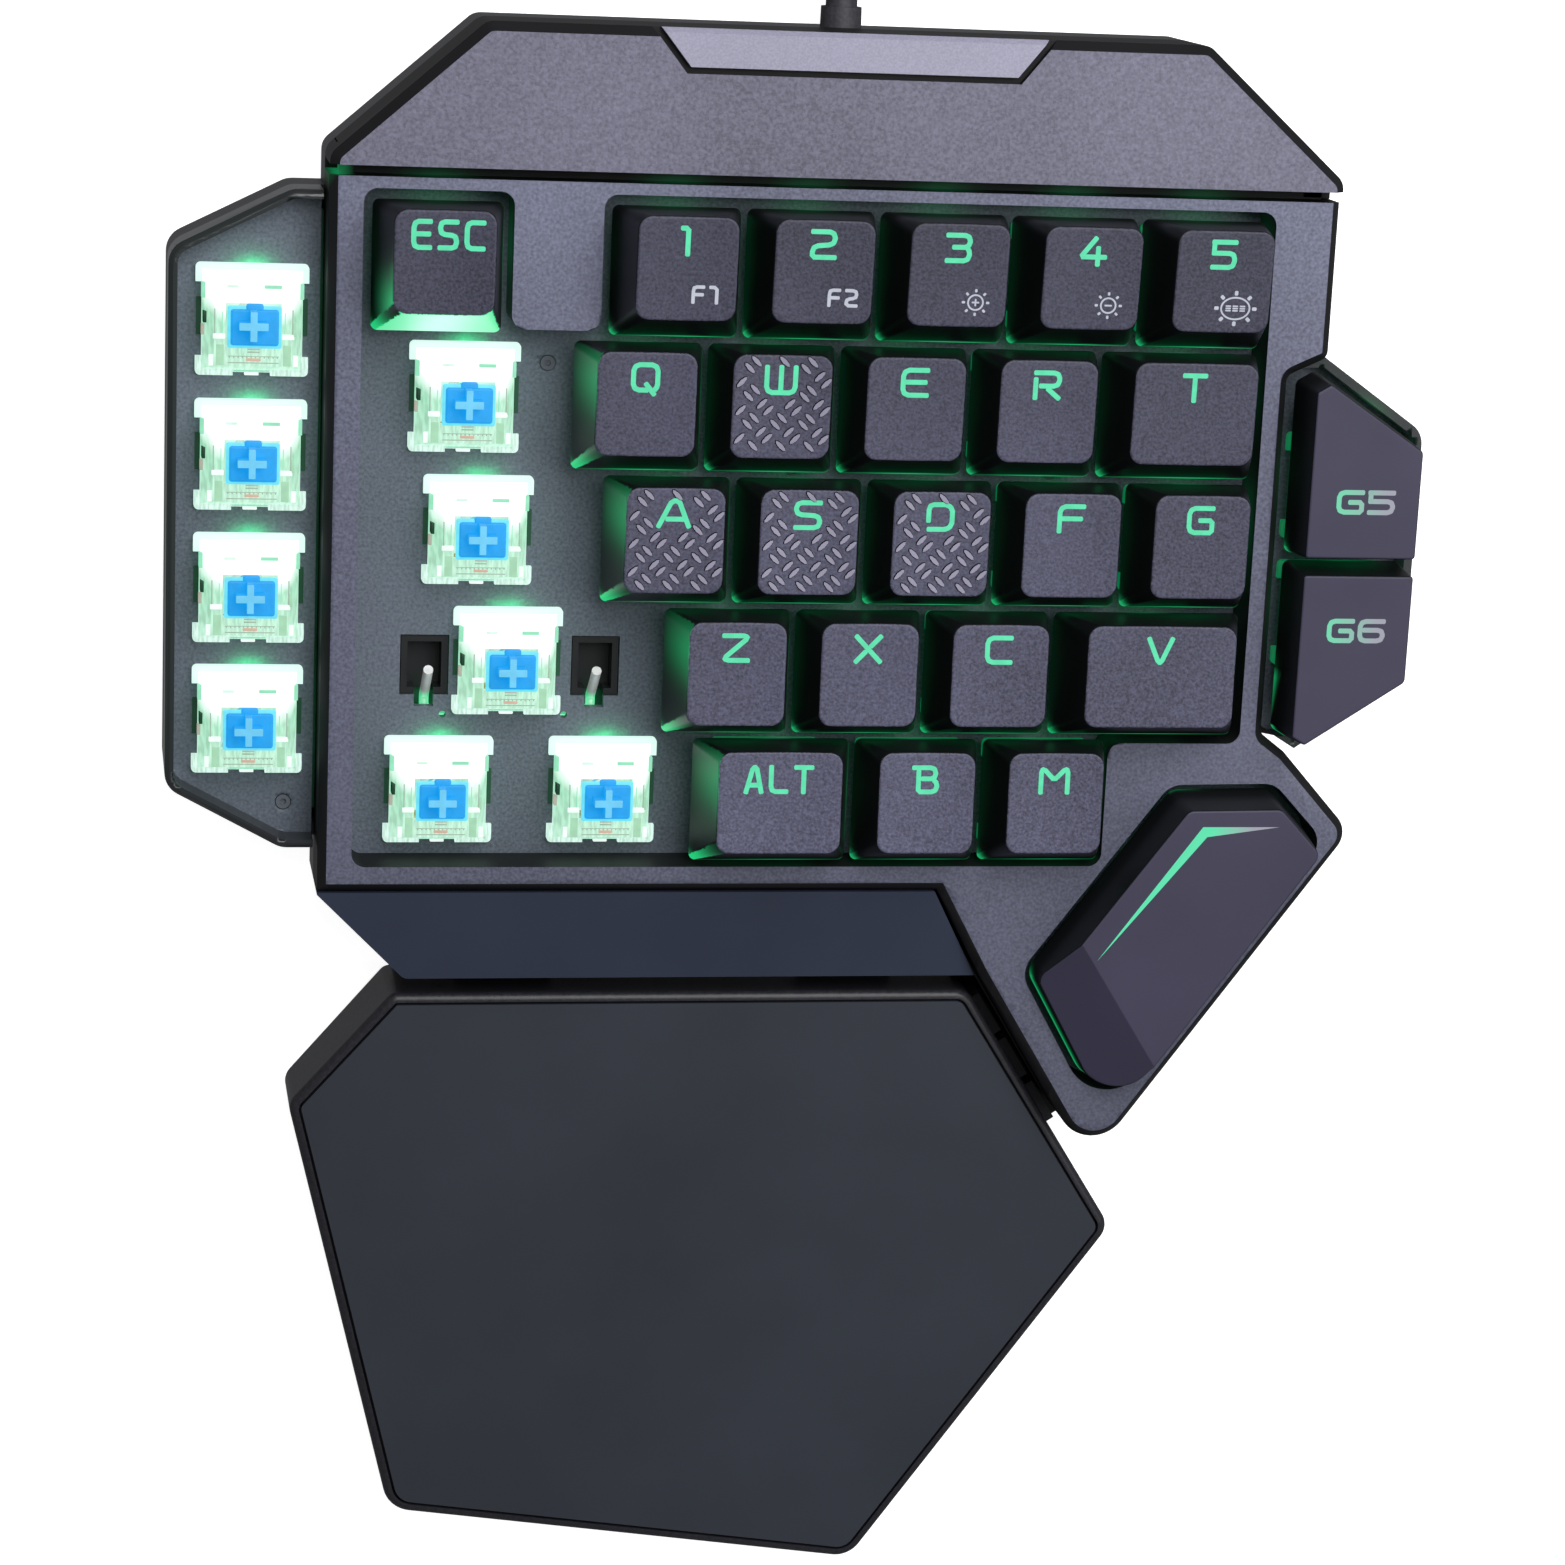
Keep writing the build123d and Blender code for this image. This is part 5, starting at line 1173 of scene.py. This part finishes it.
def bare_details():
    """What shows of a switch without its cap, over its plain housings."""
    bm = bmesh.new()
    top = HOUSING_TOP
    for side in (-1, 1):
        add_box(bm, (0.7, 5.3, 0.06), (side * 7.4, 0.35, 0.03), WINDOW)
        add_box(bm, (0.7, 2.2, 1.5), (side * 6.75, 4.2, 1.75), SHADE, 0.1)
        add_box(bm, (1.1, 2.9, 0.2), (side * 4.6, -4.2, top - 0.03), BAR, 0.08)
        add_box(bm, (1.7, 0.75, 0.3), (side * 4.75, -1.6, top), BRIGHT, 0.12)
        add_box(bm, (0.16, 4.0, 0.2), (side * 5.35, 0.2, top), RIB, 0.05)
        add_box(bm, (0.12, 3.0, 0.2), (side * 4.3, 0.3, top), SHADE, 0.04)
        add_box(bm, (1.5, 1.6, 0.2), (side * 5.4, -5.0, top - 0.5), BRIGHT, 0.1)
    add_box(bm, (0.55, 1.6, 2.2), (-6.6, 0.55, 2.05), WINDOW, 0.1)
    add_box(bm, (0.35, 1.9, 0.3), (5.6, -0.6, top), BAR, 0.08)
    add_box(bm, (0.8, 1.5, 1.2), (-6.7, -1.3, 1.6), LEAF, 0.1)
    add_box(bm, (1.6, 0.4, 0.12), (-2.9, 5.3, top + 0.03), HAZE, 0.05)
    add_box(bm, (2.4, 0.5, 0.12), (2.6, 5.3, top + 0.03), SHADE, 0.05)
    for index in range(TEETH):
        add_box(bm, (0.16, 0.22, 0.3), (-3.3 + index * 0.6, -4.5, top - 0.05), RIB, 0.05)
    add_box(bm, (7.0, 0.10, 0.2), (0, -4.35, top), RIB, 0.03)
    add_box(bm, (7.0, 0.14, 0.2), (0, -5.25, top), RIB, 0.04)
    add_box(bm, (2.0, 0.35, 0.35), (0, -4.8, top + 0.05), COPPER, 0.08)
    add_box(bm, (1.7, 0.18, 0.3), (0, -3.75, top + 0.02), RIB, 0.05)
    add_box(bm, (1.7, 0.18, 0.3), (0, -3.35, top + 0.02), LEAF, 0.05)
    add_box(bm, (7.2, 0.4, 0.4), (0, -6.05, 3.2), BRIGHT, 0.1)
    add_box(bm, (5.0, 0.22, 0.3), (0, -6.6, 1.8), SHADE, 0.05)
    add_box(bm, (5.0, 0.2, 0.3), (0, -7.15, 1.0), SHADE, 0.05)
    add_box(bm, (2.0, 0.4, 0.9), (0, -7.6, 0.5), BRIGHT, 0.1)
    return bm


def repeat(master, places):
    """One mesh with a copy of the master at every place."""
    whole = bmesh.new()
    mesh = bpy.data.meshes.new("master")
    for x, y, turned in places:
        copy = master.copy()
        spin = Matrix.Rotation(math.radians(turned), 3, "Z")
        bmesh.ops.rotate(copy, cent=(0, 0, 0), matrix=spin, verts=copy.verts)
        bmesh.ops.translate(copy, vec=(x, y, 0), verts=copy.verts)
        copy.to_mesh(mesh)
        copy.free()
        whole.from_mesh(mesh)
    bpy.data.meshes.remove(mesh)
    master.free()
    return whole


for node, name, finish, slot in (
    ("switch_lower_housings", "switch_flanges", flange_finish, "housing"),
    ("switch_upper_housings", "switch_tops", clear_finish, "clear_housing"),
):
    housings = node_mesh(node)
    set_switch_uv(housings, switch_places)
    piece = finish_piece(name, housings, [finish, under_finish], "case", 30.0)
    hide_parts(node)

details = new_piece(
    "bare_switch_details",
    repeat(bare_details(), bare_places),
    DETAIL_FINISHES,
    "case",
    40.0,
)

# Blue stems: three blocks and a cross, open below so that they clear the spring when pressed
CROSS_TOP = 10.2
stem_blue = glowing("stem_blue", (0.003, 0.29, 0.74, 1.0), 1.0, (0.0, 0.08, 0.15, 1.0))
stem_edge = glowing("stem_edge", (0.12, 0.72, 0.92, 1.0), 1.0, (0.05, 0.1, 0.1, 1.0))
cross_light = glowing("stem_cross", (0.10, 0.52, 0.84, 1.0), 1.0, (0.05, 0.1, 0.1, 1.0))
for name, x, y in BARE:
    stem = bmesh.new()
    add_box(stem, (6.6, 5.0, 1.2), (0, 0, 6.85), 0, 0.35)
    add_box(stem, (2.4, 1.6, 0.9), (0, 2.5, 6.7), 0, 0.35)
    add_box(stem, (7.5, 5.9, 0.7), (0, 0, 6.5), 1, 0.3)
    for size in ((4.0, 1.05, 3.75), (0.95, 4.1, 3.74)):
        for face in add_box(stem, size, (-0.25, 0.5, 8.5), 0, 0.1):
            if face.calc_center_median().z > CROSS_TOP:
                face.material_index = 2
    bmesh.ops.translate(stem, vec=(x + 0.12, y - 0.3, 0), verts=stem.verts)
    piece = new_piece(name + "_post", stem, [stem_blue, stem_edge, cross_light], name, 40.0)
    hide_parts(name)

# Dark lip of the palm rest, which closes the slit between it and the case; its near-black colour is
# painted shade
LIP = 2.5
LIP_HEIGHTS = (DESK + 0.9, DESK + 1.3)
LIP_CORNERS = ((7.0, -20.6), (91.5, -20.6), (108.0, -46.2))
LIP_WAYS = (Vector((0, 1)), Vector((0.5, 0.866)), Vector((0.84, 0.543)))
lip = bmesh.new()
lip_rows = []
for height in LIP_HEIGHTS:
    for reach in (-1.0, LIP):
        row = []
        for (x, y), way in zip(LIP_CORNERS, LIP_WAYS):
            row.append(lip.verts.new((x + way.x * reach, y + way.y * reach, height)))
        lip_rows.append(row)
low_near, low_far, high_near, high_far = lip_rows
lip_sides = ((low_near, low_far), (high_near, high_far), (low_near, high_near), (low_far, high_far))
for index in range(len(LIP_CORNERS) - 1):
    for one, other in lip_sides:
        lip.faces.new([one[index], one[index + 1], other[index + 1], other[index]])
for end in (0, -1):
    lip.faces.new([low_near[end], low_far[end], high_far[end], high_near[end]])
new_piece("palm_rest_shade_lip", lip, [shaded_edge_finish], "palm_rest")

# Dark filling at the right end of the groove, coloured with painted shade
filling = bmesh.new()
add_box(filling, (4.2, 1.5, 15.0), (136.3, 98.8, -4.5), 0, 0.2)
new_piece("groove_end_shade", filling, [shaded_edge_finish], "case")

# Finishes of the nodes that keep their own shape
KEPT = {
    "bottom_case": palm_finish,
    "accent_plate": accent_finish,
    "front_panel": panel_finish,
    "circuit_board": board_finish,
    "switch_springs": steel_finish,
    "switch_contacts": brass_finish,
    "switch_lights": lamp_finish,
    "stabiliser_housings": cup_finish,
    "stabiliser_wire": wire_finish,
    "case_screws": screw_finish,
    "rubber_feet": rubber_finish,
    "palm_rest_base": palm_finish,
    "palm_rest_pad": pad_finish,
    "palm_rest_feet": rubber_finish,
    "cord_gland": cord_finish,
    "usb_plug": plug_finish,
}
for name, finish in KEPT.items():
    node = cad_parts[name]
    if node.material_slots:
        for place in node.material_slots:
            place.material = finish
    else:
        node.data.materials.append(finish)

# Floor, light and background
FLOOR_HALF = 3.0
FLOOR_DROP = 0.0002
floor = bmesh.new()
bmesh.ops.create_grid(floor, x_segments=1, y_segments=1, size=FLOOR_HALF)
floor_mesh = bpy.data.meshes.new("floor")
floor.to_mesh(floor_mesh)
floor.free()
floor_constants = {
    "Base Color": grey(0.60),
    "Roughness": 0.9,
    "Emission Color": WHITE,
    "Emission Strength": 0.9,
}
floor_finish = Finish("floor_paper", floor_constants)
floor_mesh.materials.append(floor_finish.material)
floor_piece = bpy.data.objects.new("floor", floor_mesh)
floor_piece.location.z = -FLOOR_DROP
bpy.context.scene.collection.objects.link(floor_piece)
floor_piece.visible_diffuse = False
floor_piece.visible_glossy = False
floor_piece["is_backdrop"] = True

world = bpy.data.worlds.new("studio")
world.use_nodes = True
sky = world.node_tree.nodes["Background"].inputs
sky["Color"].default_value = (0.96, 0.97, 1.0, 1.0)
sky["Strength"].default_value = 0.24
bpy.context.scene.world = world


def softbox(name, place, target, size, power):
    """A square lamp that points at a target; metres and watts."""
    data = bpy.data.lights.new(name, "AREA")
    data.shape = "SQUARE"
    data.size = size
    data.energy = power
    light = bpy.data.objects.new(name, data)
    light.location = Vector(place)
    aim = Vector(target) - Vector(place)
    light.rotation_euler = aim.to_track_quat("-Z", "Y").to_euler()
    bpy.context.scene.collection.objects.link(light)


softbox("back_softbox", (0.13, 0.36, 0.56), (0.03, 0.03, 0.0), 0.5, 5.0)
softbox("side_softbox", (0.50, 0.00, 0.60), (0.0, 0.0, 0.0), 0.4, 1.2)
bpy.context.scene.view_settings.view_transform = "Standard"

boxes = [[list(corner) for corner in box] for box in (cad_box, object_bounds())]
